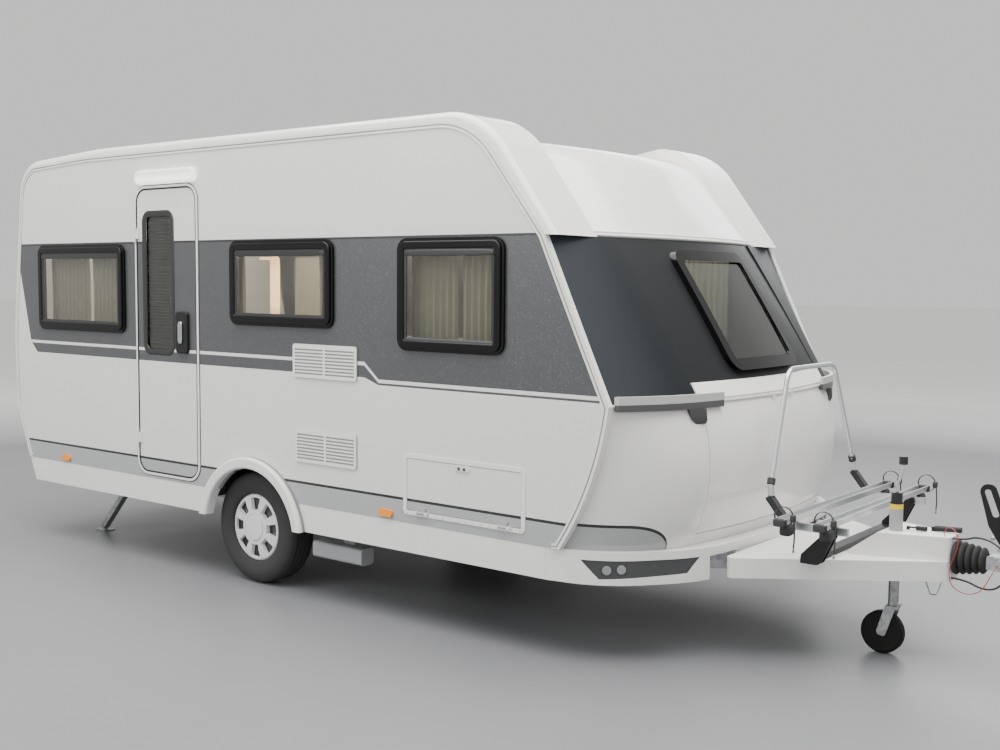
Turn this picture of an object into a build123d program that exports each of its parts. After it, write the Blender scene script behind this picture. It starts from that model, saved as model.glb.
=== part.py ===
from build123d import *
import os
from math import asin, atan2, cos, degrees, hypot, pi, sin, tan

# Travel caravan on one axle, millimetres.
# X points forwards to the coupling, Y to the left, Z up. While the pieces are made, x is
# measured from the axle; the last lines move all of them so that the origin lies on the
# floor under the middle of the outline.

# Body shell
BODY_WIDTH = 2300.0
WALL = 31.0
ROOF_THICK = 32.0
FLOOR_THICK = 40.0
FLOOR_TOP = 500.0
PANEL_FIT = 0.5
SEAT = 0.3
SILL_Z = 520.0
CORNER_Y = 694.0
BOW_RADIUS = 3600.0
SEAM_Z = 1185.0
HOOD_Z = 1935.0
MOULDING_WIDTH = 92.0
MOULDING_ROUND = 40.0
SHOULDER_Y = 800.0
SHOULDER_START = 1150.0
SHOULDER_FULL = 1500.0
SHOULDER_THICK = 60.0
ROOF_TOP = 2505.0
RUN_ON = 150.0
HALF = BODY_WIDTH / 2
INNER = HALF - WALL - PANEL_FIT
EDGE_IN = HALF - MOULDING_WIDTH
OUTSIDE = HALF + 150.0
BOW = BOW_RADIUS - (BOW_RADIUS ** 2 - CORNER_Y ** 2) ** 0.5

# Front of the body: height, x at the side wall, x at the edge of the middle panel
FRONT_LOWER = ((520.0, 2148.0, 2568.0), (850.0, 2320.0, 2660.0), (1180.0, 2404.0, 2607.0))
FRONT_UPPER = ((1190.0, 2398.0, 2600.0), (1560.0, 2222.0, 2375.0), (1935.0, 2047.0, 2130.0))

# Outlines of roof and rear: corner x, corner z, radius at the corner
SIDE_OUTLINE = (
    (1626.0, ROOF_TOP - 31.0, 420.0),
    (-1500.0, ROOF_TOP - 35.0, 3000.0),
    (-2235.0, ROOF_TOP - 70.0, 200.0),
    (-2360.0, 1350.0, 2500.0),
    (-2343.0, 860.0, 450.0),
)
SIDE_REAR_FOOT = (-2203.0, 520.0)
OUTER_OUTLINE = (
    (1671.0, ROOF_TOP + 20.0, 430.0),
    (-1400.0, ROOF_TOP + 20.0, 3000.0),
    (-2277.0, ROOF_TOP - 27.0, 235.0),
    (-2406.0, 1340.0, 2500.0),
    (-2374.0, 770.0, 450.0),
)
OUTER_FRONT_END = (2106.0, 1935.0)
OUTER_REAR_FOOT = (-2228.0, 520.0)
ROOF_OUTLINE = (
    (1780.0, ROOF_TOP - 115.0, 260.0),
    (1100.0, ROOF_TOP, 1500.0),
    (-1400.0, ROOF_TOP, 3000.0),
    (-2262.0, ROOF_TOP - 45.0, 235.0),
    (-2390.0, 1340.0, 2500.0),
    (-2358.0, 770.0, 450.0),
)
ROOF_FRONT_END = (2130.0, 1935.0)
ROOF_REAR_FOOT = (-2212.0, 520.0)
ROOF_REAR_SPLIT = -2000.0
HOOD_REAR = 700.0
HOOD_RUN = 200.0

# Rail trim round the side wall: reach inwards and outwards of its edge, how proud, groove
TRIM_IN = 24.0
TRIM_OUT = 8.0
TRIM_PROUD = 5.0
TRIM_GROOVE = (-14.0, -6.0)
TRIM_GROOVE_DEEP = 2.5

# White ledge under the front window
LEDGE_Z = (1200.0, 1268.0)
LEDGE_PROUD = 9.0

# Running gear
TYRE_RADIUS = 320.0
TYRE_WIDTH = 188.0
WHEEL_Y = HALF - 150.0
RIM_RADIUS = 192.0
TRIM_RADIUS = 198.0
TRIM_HOLES = 8
ARCH_X = 55.0
ARCH_RADIUS = 372.0
ARCH_CENTRE_Z = 300.0
ARCH_BAND = 62.0
ARCH_OUT = 42.0

# Side openings: x from, x to, z from, z to, corner radius
WINDOWS = (
    (-2050.0, -1100.0, 1386.0, 1930.0, 60.0),
    (-107.0, 715.0, 1470.0, 1935.0, 60.0),
    (1170.0, 1837.0, 1380.0, 1930.0, 60.0),
)
DOOR = (-994.0, -397.0, 540.0, 2270.0, 100.0)
DOOR_GLASS = (-912.0, -628.0, 1280.0, 2112.0, 55.0)
FLAP = (1205.0, 1964.0, 563.0, 869.0, 25.0)
FRONT_WINDOW = (-360.0, 360.0, 1310.0, 1885.0, 70.0)
REAR_WINDOW = (-420.0, 420.0, 1400.0, 1920.0, 70.0)
FRAME_BAND = 52.0
FRAME_PROUD = 26.0
FRAME_STEP = 15.0
FRAME_STEP_PROUD = 15.0
PANE_THICK = 6.0
PANE_BACK = 13.0
PANE_ROUND = 4.0
DOOR_BAND = 20.0
DOOR_PROUD = 6.0
DOOR_GAP = 4.0
LEAF_THICK = 30.0
FLAP_BAND = 22.0

# Chassis and drawbar
RAIL_Y = 640.0
RAIL_HEIGHT = 130.0
RAIL_WALL = 4.0
RAIL_FLANGE = 45.0
FLOOR_UNDER = FLOOR_TOP - FLOOR_THICK
APEX_X = 3500.0
APEX_Y = 42.0
KNEE_X = 2560.0
RAIL_REAR_X = -1900.0

COUPLING_X = 3930.0
COUPLING_Z = 462.0
BALL_RADIUS = 25.0
BALL_CLEAR = 0.3

# Cover on the drawbar
COVER_REAR = (KNEE_X + 155.0, RAIL_Y + 20.0)
COVER_FRONT = (APEX_X + 40.0, APEX_Y + 24.0)
COVER_LOW = 386.0
COVER_TOP = 478.0
HUMP_START = APEX_X - 305.0
HUMP_HALF = 210.0
HUMP_TOP = 588.0
HUMP_RAMP = 95.0
COVER_WALL = 4.0

# Jockey wheel
JOCKEY_X = 3290.0
JOCKEY_Y = -50.0
JOCKEY_TUBE = 30.0
JOCKEY_INNER = 24.0
JOCKEY_WHEEL = 100.0
JOCKEY_TRAIL = 45.0
JOCKEY_TOP = 720.0
JOCKEY_LOW = 400.0

# Corner steadies: x of the pivot, side, folded or down
STEADY_PIVOT_Z = 405.0
STEADY_Y = HALF - 360.0
STEADY_LENGTH = 520.0
STEADY_FOOT = 26.0
STEADIES = (
    ("steady_rear_right", -1550.0, -1, -1, False),
    ("steady_rear_left", -1550.0, 1, -1, False),
    ("steady_front_right", 1360.0, -1, 1, True),
    ("steady_front_left", 1360.0, 1, 1, True),
)

# Cycle carrier on the drawbar
CARRIER_PIVOT = (3177.0, 640.0)
CARRIER_Y = 496.0
HOOP_RADIUS = 12.0
CARRIER_RAILS = (2992.0, 3177.0)
CARRIER_RAIL_Z = 668.0
CARRIER_RAIL_HALF = 668.0
CARRIER_BAR_HALF = 10.0
CARRIER_BAR_Z = (622.0, 656.0)
CARRIER_EAR = 8.0
CARRIER_EAR_GAP = 6.0
BRACKET_HALF = 20.0
BRACKET_PLATE = ((2848.0, 752.0), (2878.0, 762.0), (2968.0, 650.0), (2934.0, 646.0))

# Locker lid
LID_LOW = 580.0
LID_HINGE = (FRONT_LOWER[2][2] + BOW + 7.5, SEAM_Z + 2.0)
LID_THICK = 28.0
LID_GAP = 4.0
LID_LUG_Y = 100.0

LOCKER_REAR = 2078.0
SEAM_PROUD = 12.0
GRIP_Y = 560.0
BOX_HALF = 395.0
BOX_Y = HALF - 300.0
BOX_TOP = 690.0
SKIRT_LOW = 370.0
VENT_PITCH = 18.0
VENTS = ((405.0, 882.0, 1205.0, 1383.0, 14.0), (420.0, 880.0, 750.0, 930.0, 14.0))
MARKER_X = (-1772.0, 1088.0)
MARKER_Z = 553.0
AWNING_LIGHT = (-965.0, -400.0, 2278.0, 2362.0, 40.0)
DOOR_HANDLE = (-592.0, -482.0, 1288.0, 1532.0, 22.0)
DOOR_HINGES = (760.0, 1990.0)
FLAP_HINGES = (1330.0, 1840.0)
CROSS_X = (-1890.0, -700.0, 1100.0, 2200.0)
DRAW_LOW = 392.0
DRAW_HIGH = COVER_TOP - COVER_WALL - SEAT
SHAFT_Z = 492.0
HEAD_REAR = 3694.0
GAITER_FOLDS = 5
AXLE_TUBE_X = 165.0
AXLE_TUBE_Z = 375.0
HATCHES = ((-900.0, -300.0, 280.0), (120.0, 560.0, 200.0))
FLAP_LATCH = (1540.0, 1630.0, 815.0, 839.0, 8.0)
FLAP_LATCH_PROUD = 8.0

# Lamp recess in the front bumper: x, z of its corners seen from the side
LAMP_CORNERS = ((2245.0, 482.0), (2325.0, 396.0), (2605.0, 412.0), (2635.0, 482.0))
BUMPER_WALL = 8.0
LAMP_BACK = 4.0

# Grab handles
GRIP_Z = (1160.0, 1226.0)

# Free cables at the front of the drawbar: x, y, z along each of them
TRAILER_CABLE = 9.0
TRAILER_ROUTE = (
    (3545.0, -36.0, 400.0), (3605.0, -36.0, 400.0), (3680.0, -62.0, 378.0), (3750.0, -95.0, 388.0),
    (3800.0, -110.0, 440.0), (3815.0, -112.0, 510.0), (3785.0, -104.0, 572.0), (3720.0, -85.0, 605.0),
    (3650.0, -58.0, 606.0), (3600.0, -36.0, 582.0), (3545.0, -36.0, 582.0),
)
BREAKAWAY_CABLE = 4.0
BREAKAWAY_ROUTE = (
    (3510.0, -40.0, 588.0), (3510.0, -40.0, 622.0), (3540.0, -62.0, 640.0), (3580.0, -88.0, 620.0),
    (3592.0, -100.0, 575.0), (3580.0, -104.0, 525.0), (3560.0, -104.0, 475.0), (3552.0, -100.0, 428.0),
    (3562.0, -94.0, 382.0), (3600.0, -88.0, 352.0), (3650.0, -88.0, 350.0), (3695.0, -96.0, 375.0),
    (3722.0, -100.0, 425.0), (3740.0, -78.0, 470.0), (3740.0, -36.0, 485.0),
)
CORD_SHARE = 0.45
HOOK_WIRE = 3.0
HOOK_ROUTE = ((3430.0, -60.0, 396.0), (3462.0, -60.0, 315.0), (3488.0, -56.0, 315.0), (3512.0, -38.0, 396.0))

pieces = {}


def at(x, z, y=0.0):
    return Vector(x, y, z)


def across(face, y_from, y_to):
    return extrude(face.moved(Location((0, y_from, 0))), amount=y_to - y_from, dir=(0, 1, 0))


def upwards(face, z_from, z_to):
    return extrude(face.moved(Location((0, 0, z_from))), amount=z_to - z_from, dir=(0, 0, 1))


def block(x_from, x_to, y_from, y_to, z_from, z_to):
    size = (x_to - x_from, y_to - y_from, z_to - z_from)
    middle = ((x_from + x_to) / 2, (y_from + y_to) / 2, (z_from + z_to) / 2)
    return Pos(*middle) * Box(*size)


def other_side(shape):
    return shape.mirror(Plane.XZ)


def both_sides(shape):
    return Compound([shape, other_side(shape)])


def rod(start, end, radius):
    start, end = Vector(start), Vector(end)
    run = end - start
    return Solid.make_cylinder(radius, run.length, Plane(origin=start, z_dir=run))


def pipe(points, bends, radius, bore=0.0):
    path = FilletPolyline(points, radius=bends)
    plane = Plane(origin=path @ 0, z_dir=path % 0)
    section = plane * Circle(radius)
    if bore:
        section -= plane * Circle(bore)
    return sweep(section, path=path)


def plate_xz(points, radii=None):
    corners = [at(x, z) for x, z in points]
    if radii is None:
        return make_face(Polyline(corners, close=True))
    return make_face(FilletPolyline(corners, radius=radii, close=True))


def plate_xy(points, radii=None):
    corners = [Vector(x, y, 0) for x, y in points]
    if radii is None:
        return make_face(Polyline(corners, close=True))
    return make_face(FilletPolyline(corners, radius=radii, close=True))


def opening_face(opening, grow=0.0):
    x_from, x_to, z_from, z_to, radius = opening
    low_x, high_x = x_from - grow, x_to + grow
    low_z, high_z = z_from - grow, z_to + grow
    corners = ((low_x, low_z), (high_x, low_z), (high_x, high_z), (low_x, high_z))
    return plate_xz(corners, radius + grow)


# Outlines
def roof_chain(front_end, corners, rear_foot):
    points = [at(*front_end)] + [at(x, z) for x, z, _ in corners] + [at(*rear_foot)]
    return FilletPolyline(points, radius=[radius for _, _, radius in corners])


def side_face():
    lower = ThreePointArc(*[at(x, z) for z, x, _ in FRONT_LOWER])
    upper = ThreePointArc(*[at(x, z) for z, x, _ in FRONT_UPPER])
    step = Line(lower @ 1, upper @ 0)
    over = roof_chain((FRONT_UPPER[-1][1], HOOD_Z), SIDE_OUTLINE, SIDE_REAR_FOOT)
    sill = Line(at(*SIDE_REAR_FOOT), lower @ 0)
    return make_face(Curve() + [lower, step, upper, over, sill])


def run_on(corner, end):
    # A point beyond the end of a straight run, so that the wall made from it can be cut clean.
    run_x, run_z = end[0] - corner[0], end[1] - corner[1]
    share = RUN_ON / hypot(run_x, run_z)
    return end[0] + share * run_x, end[1] + share * run_z


def outline_face(front_end, corners, rear_foot):
    front = run_on(corners[0], front_end)
    rear = run_on(corners[-1], rear_foot)
    over = roof_chain(front, corners, rear)
    rest = Polyline(at(*rear), at(SHOULDER_FULL, rear[1]), at(SHOULDER_FULL, front[1]), at(*front))
    return make_face(Curve() + [over, rest])


def bowed(profile_points_face, half_width):
    # The front panels are bowed in plan: the profile at the edge of the middle panel is
    # carried round an upright axis far behind and cut to width.
    middle = profile_points_face.moved(Location((BOW, 0, 0)))
    centre_x = FRONT_LOWER[1][2] + BOW - BOW_RADIUS
    least = middle.bounding_box().min.X - centre_x
    half_turn = degrees(asin(half_width / least)) + 1
    axis = Axis((centre_x, 0, 0), (0, 0, 1))
    turned = middle.rotate(axis, -half_turn)
    ring = revolve(turned, axis=axis, revolution_arc=2 * half_turn)
    return ring & block(0, 3200, -half_width, half_width, 0, 3000)


def corner_shell(rows, side_y, middle_y, thick):
    slope = middle_y / BOW_RADIUS
    sections = []
    for z, x_side, x_middle in rows:
        tangent = Vector(-slope, 1, 0)
        outer = TangentArc(Vector(x_middle, middle_y, z), Vector(x_side, side_y, z), tangent=tangent)
        inner = TangentArc(Vector(x_middle - thick, middle_y, z),
                           Vector(x_side - thick, side_y - 0.45 * thick, z), tangent=tangent)
        rim = [outer, Line(outer @ 1, inner @ 1), inner, Line(inner @ 0, outer @ 0)]
        sections.append(make_face(Curve() + rim))
    return loft(sections)


# Body shell
side = side_face()
outer_face = outline_face(OUTER_FRONT_END, OUTER_OUTLINE, OUTER_REAR_FOOT)
roof_face = outline_face(ROOF_FRONT_END, ROOF_OUTLINE, ROOF_REAR_FOOT)


def arch_face(radius):
    return Pos(ARCH_X, 0, ARCH_CENTRE_Z) * (Plane.XZ * Circle(radius))


def wall(sides_y, openings):
    slab = across(side, HALF - WALL, HALF)
    for opening in openings:
        slab -= across(opening_face(opening), HALF - 2 * WALL, HALF + WALL)
    slab -= across(arch_face(ARCH_RADIUS), HALF - 2 * WALL, HALF + WALL)
    return slab if sides_y > 0 else other_side(slab)


glass_holes = [(a + 30, b - 30, c + 30, d - 30, r - 20) for a, b, c, d, r in WINDOWS]
pieces["wall_left"] = wall(1, glass_holes)
pieces["wall_right"] = wall(-1, glass_holes + [DOOR, FLAP])

shell = across(roof_face, -EDGE_IN + PANEL_FIT, EDGE_IN - PANEL_FIT)
hollow = across(offset(roof_face, -ROOF_THICK), -EDGE_IN, EDGE_IN)
front_gap = block(1000, 3000, -EDGE_IN, EDGE_IN, 0, HOOD_Z)
shell = shell - hollow - front_gap - block(-1900, 3000, -EDGE_IN, EDGE_IN, 0, 2000)

moulding_ring = outer_face - offset(side, PANEL_FIT)
moulding = across(moulding_ring, EDGE_IN, HALF)
moulding = moulding & block(-2600, 3000, 0, OUTSIDE, SILL_Z, 3000)
moulding -= block(1200, 3000, 0, OUTSIDE, 0, HOOD_Z)
shoulder_plan = plate_xy(((SHOULDER_START, EDGE_IN), (SHOULDER_FULL, SHOULDER_Y), (2300, SHOULDER_Y),
                          (2300, EDGE_IN)), [1, 250, 1, 1])
shoulder = across(outer_face - offset(outer_face, -SHOULDER_THICK), SHOULDER_Y - 50, EDGE_IN)
shoulder = shoulder & upwards(shoulder_plan, HOOD_Z, 3000)
edge_piece = moulding + shoulder
rounded = edge_piece.edges().filter_by(lambda e: abs(e.center().Y - HALF) < 0.1)
outer_edges = [e for e in rounded if side.distance_to(e.center() - Vector(0, e.center().Y, 0)) > 30]
outer_edges = [e for e in outer_edges if e.center().Z > HOOD_Z + 5 or e.center().X < -2000]
outer_edges = [e for e in outer_edges if e.center().Z > SILL_Z + 5]
edge_piece = fillet(outer_edges, MOULDING_ROUND)
trim = across(offset(side, TRIM_OUT) - offset(side, -TRIM_IN), HALF + SEAT, HALF + TRIM_PROUD)
trim += across(offset(side, TRIM_OUT) - offset(side, PANEL_FIT), INNER + PANEL_FIT, HALF + TRIM_PROUD)
groove_in, groove_out = TRIM_GROOVE
groove = offset(side, groove_out) - offset(side, groove_in)
trim -= across(groove, HALF + TRIM_GROOVE_DEEP, HALF + WALL)
trim -= block(SIDE_REAR_FOOT[0] + TRIM_IN + TRIM_OUT, FRONT_LOWER[0][1] - TRIM_IN - TRIM_OUT, 0, OUTSIDE, 0,
              SILL_Z + TRIM_IN + TRIM_OUT)
edge_piece += trim & block(-2600, 3000, 0, OUTSIDE, SILL_Z, 3000)
pieces["roof_edge_left"] = edge_piece
pieces["roof_edge_right"] = other_side(edge_piece)

edges_out = edge_piece + other_side(edge_piece)
shell = shell - edges_out
roof_part = shell & block(ROOF_REAR_SPLIT, HOOD_REAR, -HALF, HALF, 1900, 3000)
rear_part = shell & block(-3000, ROOF_REAR_SPLIT - PANEL_FIT, -HALF, HALF, SILL_Z, 3000)
pieces["roof"] = roof_part
pieces["rear_wall"] = rear_part

hood_ring = roof_face - offset(roof_face, -ROOF_THICK)
hood_start = HOOD_REAR - HOOD_RUN
hood_ring = hood_ring & plate_xz(((hood_start, ROOF_TOP - 205), (SHOULDER_FULL, HOOD_Z), (2600, HOOD_Z),
                                  (2600, 3000), (hood_start, 3000)))
hood = bowed(hood_ring, EDGE_IN - PANEL_FIT) & block(HOOD_REAR, 3000, -HALF, HALF, HOOD_Z, 3000)
pieces["roof_hood"] = hood - edges_out


def window_in_yz(opening, grow=0.0):
    y_from, y_to, z_from, z_to, radius = opening
    corners = ((y_from - grow, z_from - grow), (y_to + grow, z_from - grow),
               (y_to + grow, z_to + grow), (y_from - grow, z_to + grow))
    points = [Vector(0, y, z) for y, z in corners]
    return make_face(FilletPolyline(points, radius=radius + grow, close=True))


def along_x(face, x_from, x_to):
    return extrude(face.moved(Location((x_from, 0, 0))), amount=x_to - x_from, dir=(1, 0, 0))


def middle_layer(rows, outwards, inwards):
    outer = ThreePointArc(*[at(x + outwards, z) for z, _, x in rows])
    inner = ThreePointArc(*[at(x - inwards, z) for z, _, x in rows])
    rim = [outer, Line(outer @ 1, inner @ 1), inner, Line(inner @ 0, outer @ 0)]
    return bowed(make_face(Curve() + rim), CORNER_Y - PANEL_FIT)


# Front: middle panel with the window, corners, locker
glass_hole = along_x(window_in_yz(FRONT_WINDOW, -30), 1500, 3000)
ledge_low, ledge_high = LEDGE_Z
ledge = middle_layer(FRONT_UPPER, LEDGE_PROUD, 1) & block(1500, 3200, -HALF, HALF, ledge_low, ledge_high)
pieces["front_wall"] = (middle_layer(FRONT_UPPER, 0, ROOF_THICK) + ledge) - glass_hole
front_band = along_x(window_in_yz(FRONT_WINDOW), 1500, 3000)
front_clear = along_x(window_in_yz(FRONT_WINDOW, -FRAME_BAND), 1500, 3000)
frame_layer = middle_layer(FRONT_UPPER, FRAME_PROUD + 8, -PANEL_FIT)
front_frame = (frame_layer & front_band) - front_clear
pane_edge = along_x(window_in_yz(FRONT_WINDOW, -FRAME_BAND - PANEL_FIT), 1500, 3000)
front_pane = middle_layer(FRONT_UPPER, FRAME_PROUD - 4, PANE_THICK - FRAME_PROUD + 4) & pane_edge

pieces["front_corners_upper"] = both_sides(corner_shell(FRONT_UPPER, INNER, CORNER_Y, ROOF_THICK))
pieces["front_corners_lower"] = both_sides(corner_shell(FRONT_LOWER, INNER, CORNER_Y, ROOF_THICK))
lower_middle = middle_layer(FRONT_LOWER, 0, LID_THICK)
lid_cut = block(1500, 3200, -CORNER_Y + LID_GAP, CORNER_Y - LID_GAP, LID_LOW, SEAM_Z - 7)
lid = lower_middle & lid_cut
lid_x, lid_z = LID_HINGE
for y in (-LID_LUG_Y, LID_LUG_Y):
    lid += block(lid_x - 12, lid_x + 10, y - 8, y + 8, lid_z - 20, lid_z + 6)
    lid -= rod((lid_x, y - 9, lid_z), (lid_x, y + 9, lid_z), 4 + SEAT)
pieces["locker_lid"] = lid
sill_cut = block(1500, 3200, -HALF, HALF, 500, LID_LOW - LID_GAP)
pieces["front_wall"] = Compound([pieces["front_wall"], lower_middle & sill_cut])


def front_plan(rows_row, grow):
    z, x_side, x_middle = rows_row
    slope = CORNER_Y / BOW_RADIUS
    left = TangentArc(Vector(x_middle, CORNER_Y, 0), Vector(x_side, INNER, 0), tangent=Vector(-slope, 1, 0))
    right = left.mirror(Plane.XZ)
    nose = ThreePointArc(Vector(x_middle, -CORNER_Y, 0), Vector(x_middle + BOW, 0, 0),
                         Vector(x_middle, CORNER_Y, 0))
    rear = Polyline(Vector(x_side, INNER, 0), Vector(1900, INNER, 0), Vector(1900, -INNER, 0),
                    Vector(x_side, -INNER, 0))
    return offset(make_face(Curve() + [left, right, nose, rear]), grow)


seam_row = (SEAM_Z, 2402.0, 2604.0)
seam_plan = front_plan(seam_row, SEAM_PROUD) - front_plan(seam_row, -4)
seam = upwards(seam_plan, SEAM_Z - 4, SEAM_Z + 4) & block(2330, 3000, -INNER, INNER, 0, 3000)
for y in (-LID_LUG_Y, LID_LUG_Y):
    seam -= block(lid_x - 30, lid_x + 20, y - 10, y + 10, lid_z - 20, lid_z + 10)
    seam += rod((lid_x, y - 14, lid_z), (lid_x, y + 14, lid_z), 4)
pieces["front_rail"] = seam
grip_plan = front_plan(seam_row, 30) - front_plan(seam_row, SEAM_PROUD + 0.3)
grip_low, grip_high = GRIP_Z
grip = upwards(grip_plan, grip_low, grip_high) & block(2330, 2680, GRIP_Y, INNER, 0, 3000)
pieces["grab_handles"] = both_sides(grip)

# Floor, wheel boxes, skirts, bumpers
floor = block(-2150, 2100, -INNER, INNER, FLOOR_UNDER, FLOOR_TOP)
box_hole = block(ARCH_X - BOX_HALF, ARCH_X + BOX_HALF, BOX_Y, INNER + 1, 400, BOX_TOP)
floor = floor - box_hole - other_side(box_hole)
bulkhead = block(LOCKER_REAR, LOCKER_REAR + 20, -INNER, INNER, FLOOR_TOP, 1210)
ceiling = upwards(front_plan((SEAM_Z, 2400.0, 2600.0), -ROOF_THICK - 18), 1190, 1210)
ceiling = ceiling & block(LOCKER_REAR, 3000, -INNER, INNER, 0, 3000)
box_outer = block(ARCH_X - BOX_HALF + PANEL_FIT, ARCH_X + BOX_HALF - PANEL_FIT, BOX_Y + PANEL_FIT, INNER,
                  FLOOR_UNDER, BOX_TOP)
box_inner = block(ARCH_X - BOX_HALF + 6, ARCH_X + BOX_HALF - 6, BOX_Y + 6, INNER + 1, 400, BOX_TOP - 6)
wheel_box = box_outer - box_inner
pieces["floor"] = floor + wheel_box + other_side(wheel_box) + bulkhead + ceiling

skirt_face = plate_xz(((-2150, SKIRT_LOW), (-2215, SILL_Z - 1), (2078, SILL_Z - 1), (2078, SKIRT_LOW)))
skirt = across(skirt_face, HALF - 22, HALF - 2)
skirt -= across(arch_face(ARCH_RADIUS + ARCH_BAND + PANEL_FIT), HALF - 100, HALF + 10)
pieces["skirts"] = both_sides(skirt)
ring_face = arch_face(ARCH_RADIUS + ARCH_BAND) - arch_face(ARCH_RADIUS)
arch_proud = across(ring_face, HALF + 0.3, HALF + ARCH_OUT) & block(-900, 900, 0, OUTSIDE, SKIRT_LOW, 900)
arch_low = across(ring_face, HALF - 22, HALF + 1) & block(-900, 900, 0, OUTSIDE, SKIRT_LOW, SILL_Z - 1)
arch = arch_proud + arch_low
lip = arch.edges().filter_by(lambda e: abs(e.center().Y - HALF - ARCH_OUT) < 0.1 and e.center().Z > 500)
arch = fillet(lip, 12)
pieces["wheel_arches"] = both_sides(arch)

BUMPER_HALF = ((2079.0, HALF - 2.0), (2360.0, HALF - 45.0), (2660.0, CORNER_Y + 31.0), (2730.0, 0.0))
bumper_points = list(BUMPER_HALF) + [(x, -y) for x, y in reversed(BUMPER_HALF[:-1])]
bumper_plan = plate_xy(bumper_points, [0, 480, 600, 3400, 600, 480, 0])
bumper = upwards(bumper_plan, SKIRT_LOW, SILL_Z - SEAT)
bumper_inside = upwards(offset(bumper_plan, -BUMPER_WALL), SKIRT_LOW - 10, SILL_Z - BUMPER_WALL - 1)
bumper -= bumper_inside & block(2090, 3000, -HALF, HALF, 0, 1000)
bumper -= block(2000, 2102, -HALF + 12, HALF - 12, 0, 1000)
bumper -= block(2500, 2800, -COVER_REAR[1] - 1, COVER_REAR[1] + 1, 0, COVER_TOP + 1)
recess = both_sides(across(plate_xz(LAMP_CORNERS), CORNER_Y, OUTSIDE))
lens_prism = both_sides(across(offset(plate_xz(LAMP_CORNERS), -SEAT), CORNER_Y, OUTSIDE))
lens_plan = offset(bumper_plan, -LAMP_BACK) - offset(bumper_plan, -BUMPER_WALL)
pieces["front_lamps"] = upwards(lens_plan, SKIRT_LOW, SILL_Z) & lens_prism
pieces["front_bumper"] = bumper - recess
rear_face = plate_xz(((-2222, SILL_Z - SEAT), (-2158, SKIRT_LOW), (-2148, SKIRT_LOW), (-2212, SILL_Z - SEAT)))
pieces["rear_bumper"] = across(rear_face, -HALF + 23, HALF - 23)
lamp_face = offset(outer_face, 8) - offset(outer_face, SEAT)
lamp = across(lamp_face, EDGE_IN + 6, HALF - MOULDING_ROUND - 2) & block(-2600, -2200, 0, HALF, 990, 1310)
pieces["rear_lamps"] = both_sides(lamp)

# Windows, vents, lamps on the sides
def window_frames(openings):
    frames = []
    for opening in openings:
        inner_ring = opening_face(opening, -FRAME_STEP) - opening_face(opening, -FRAME_BAND)
        outer_ring = opening_face(opening) - opening_face(opening, -FRAME_BAND)
        frame = across(inner_ring, HALF + SEAT, HALF + FRAME_PROUD)
        front_edges = frame.edges().filter_by(lambda e: abs(e.center().Y - HALF - FRAME_PROUD) < 0.1)
        frames.append(fillet(front_edges, 6) + across(outer_ring, HALF + SEAT, HALF + FRAME_STEP_PROUD))
    return Compound(frames)


def window_panes(openings):
    panes = []
    for opening in openings:
        face = opening_face(opening, -FRAME_BAND - PANEL_FIT)
        pane = across(face, HALF + PANE_BACK, HALF + PANE_BACK + PANE_THICK)
        rim = pane.edges().filter_by(lambda e: e.center().Y > HALF + PANE_BACK + PANE_THICK - 0.1)
        panes.append(fillet(rim, PANE_ROUND))
    return Compound(panes)


side_frames = window_frames(WINDOWS)
side_panes = window_panes(WINDOWS)
rear_ring = offset(roof_face, FRAME_PROUD - 4) - offset(roof_face, 0.3)
rear_layer = across(rear_ring, -EDGE_IN, EDGE_IN) & block(-3000, -2200, -HALF, HALF, 1000, 2300)
rear_frame = rear_layer & along_x(window_in_yz(REAR_WINDOW), -3000, -2200)
rear_frame -= along_x(window_in_yz(REAR_WINDOW, -FRAME_BAND), -3000, -2200)
pane_ring = offset(roof_face, FRAME_PROUD - 12) - offset(roof_face, FRAME_PROUD - 12 - PANE_THICK)
rear_pane = across(pane_ring, -EDGE_IN, EDGE_IN) & block(-3000, -2200, -HALF, HALF, 1000, 2300)
rear_pane = rear_pane & along_x(window_in_yz(REAR_WINDOW, -FRAME_BAND - PANEL_FIT), -3000, -2200)
pieces["rear_wall"] = pieces["rear_wall"] - along_x(window_in_yz(REAR_WINDOW, -30), -3000, -2200)
pieces["window_frames"] = Compound([front_frame, rear_frame, side_frames, other_side(side_frames)])
pieces["window_panes"] = Compound([front_pane, rear_pane, side_panes, other_side(side_panes)])


def vent(opening):
    x_from, x_to, z_from, z_to, radius = opening
    body = across(opening_face(opening), HALF + 0.3, HALF + 9)
    slats = int((z_to - z_from - 30) / VENT_PITCH)
    middle = (x_from + x_to) / 2
    for side_x in (-1, 1):
        inner_x = middle + side_x * 8
        outer_x = x_to - 16 if side_x > 0 else x_from + 16
        low_x, high_x = min(inner_x, outer_x), max(inner_x, outer_x)
        for index in range(slats):
            z = z_from + 18 + index * VENT_PITCH
            body -= block(low_x, high_x, HALF + 4, HALF + 20, z, z + VENT_PITCH * 0.5)
    return body


pieces["vents"] = other_side(Compound([vent(opening) for opening in VENTS]))
markers = []
for x in MARKER_X:
    oval = Pos(x, 0, MARKER_Z) * (Plane.XZ * SlotOverall(92, 36))
    markers.append(across(oval, HALF + 0.3, HALF + 14))
pieces["side_markers"] = both_sides(Compound(markers))
light_face = opening_face(AWNING_LIGHT)
light = across(light_face, HALF + 0.3, HALF + 34)
light = fillet(light.edges().filter_by(lambda e: abs(e.center().Y - HALF - 34) < 0.1), 20)
pieces["awning_light"] = other_side(light)

# Door and flap
def inset(opening, amount):
    x_from, x_to, z_from, z_to, radius = opening
    return (x_from + amount, x_to - amount, z_from + amount, z_to - amount, max(radius - amount, 3.0))


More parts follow.
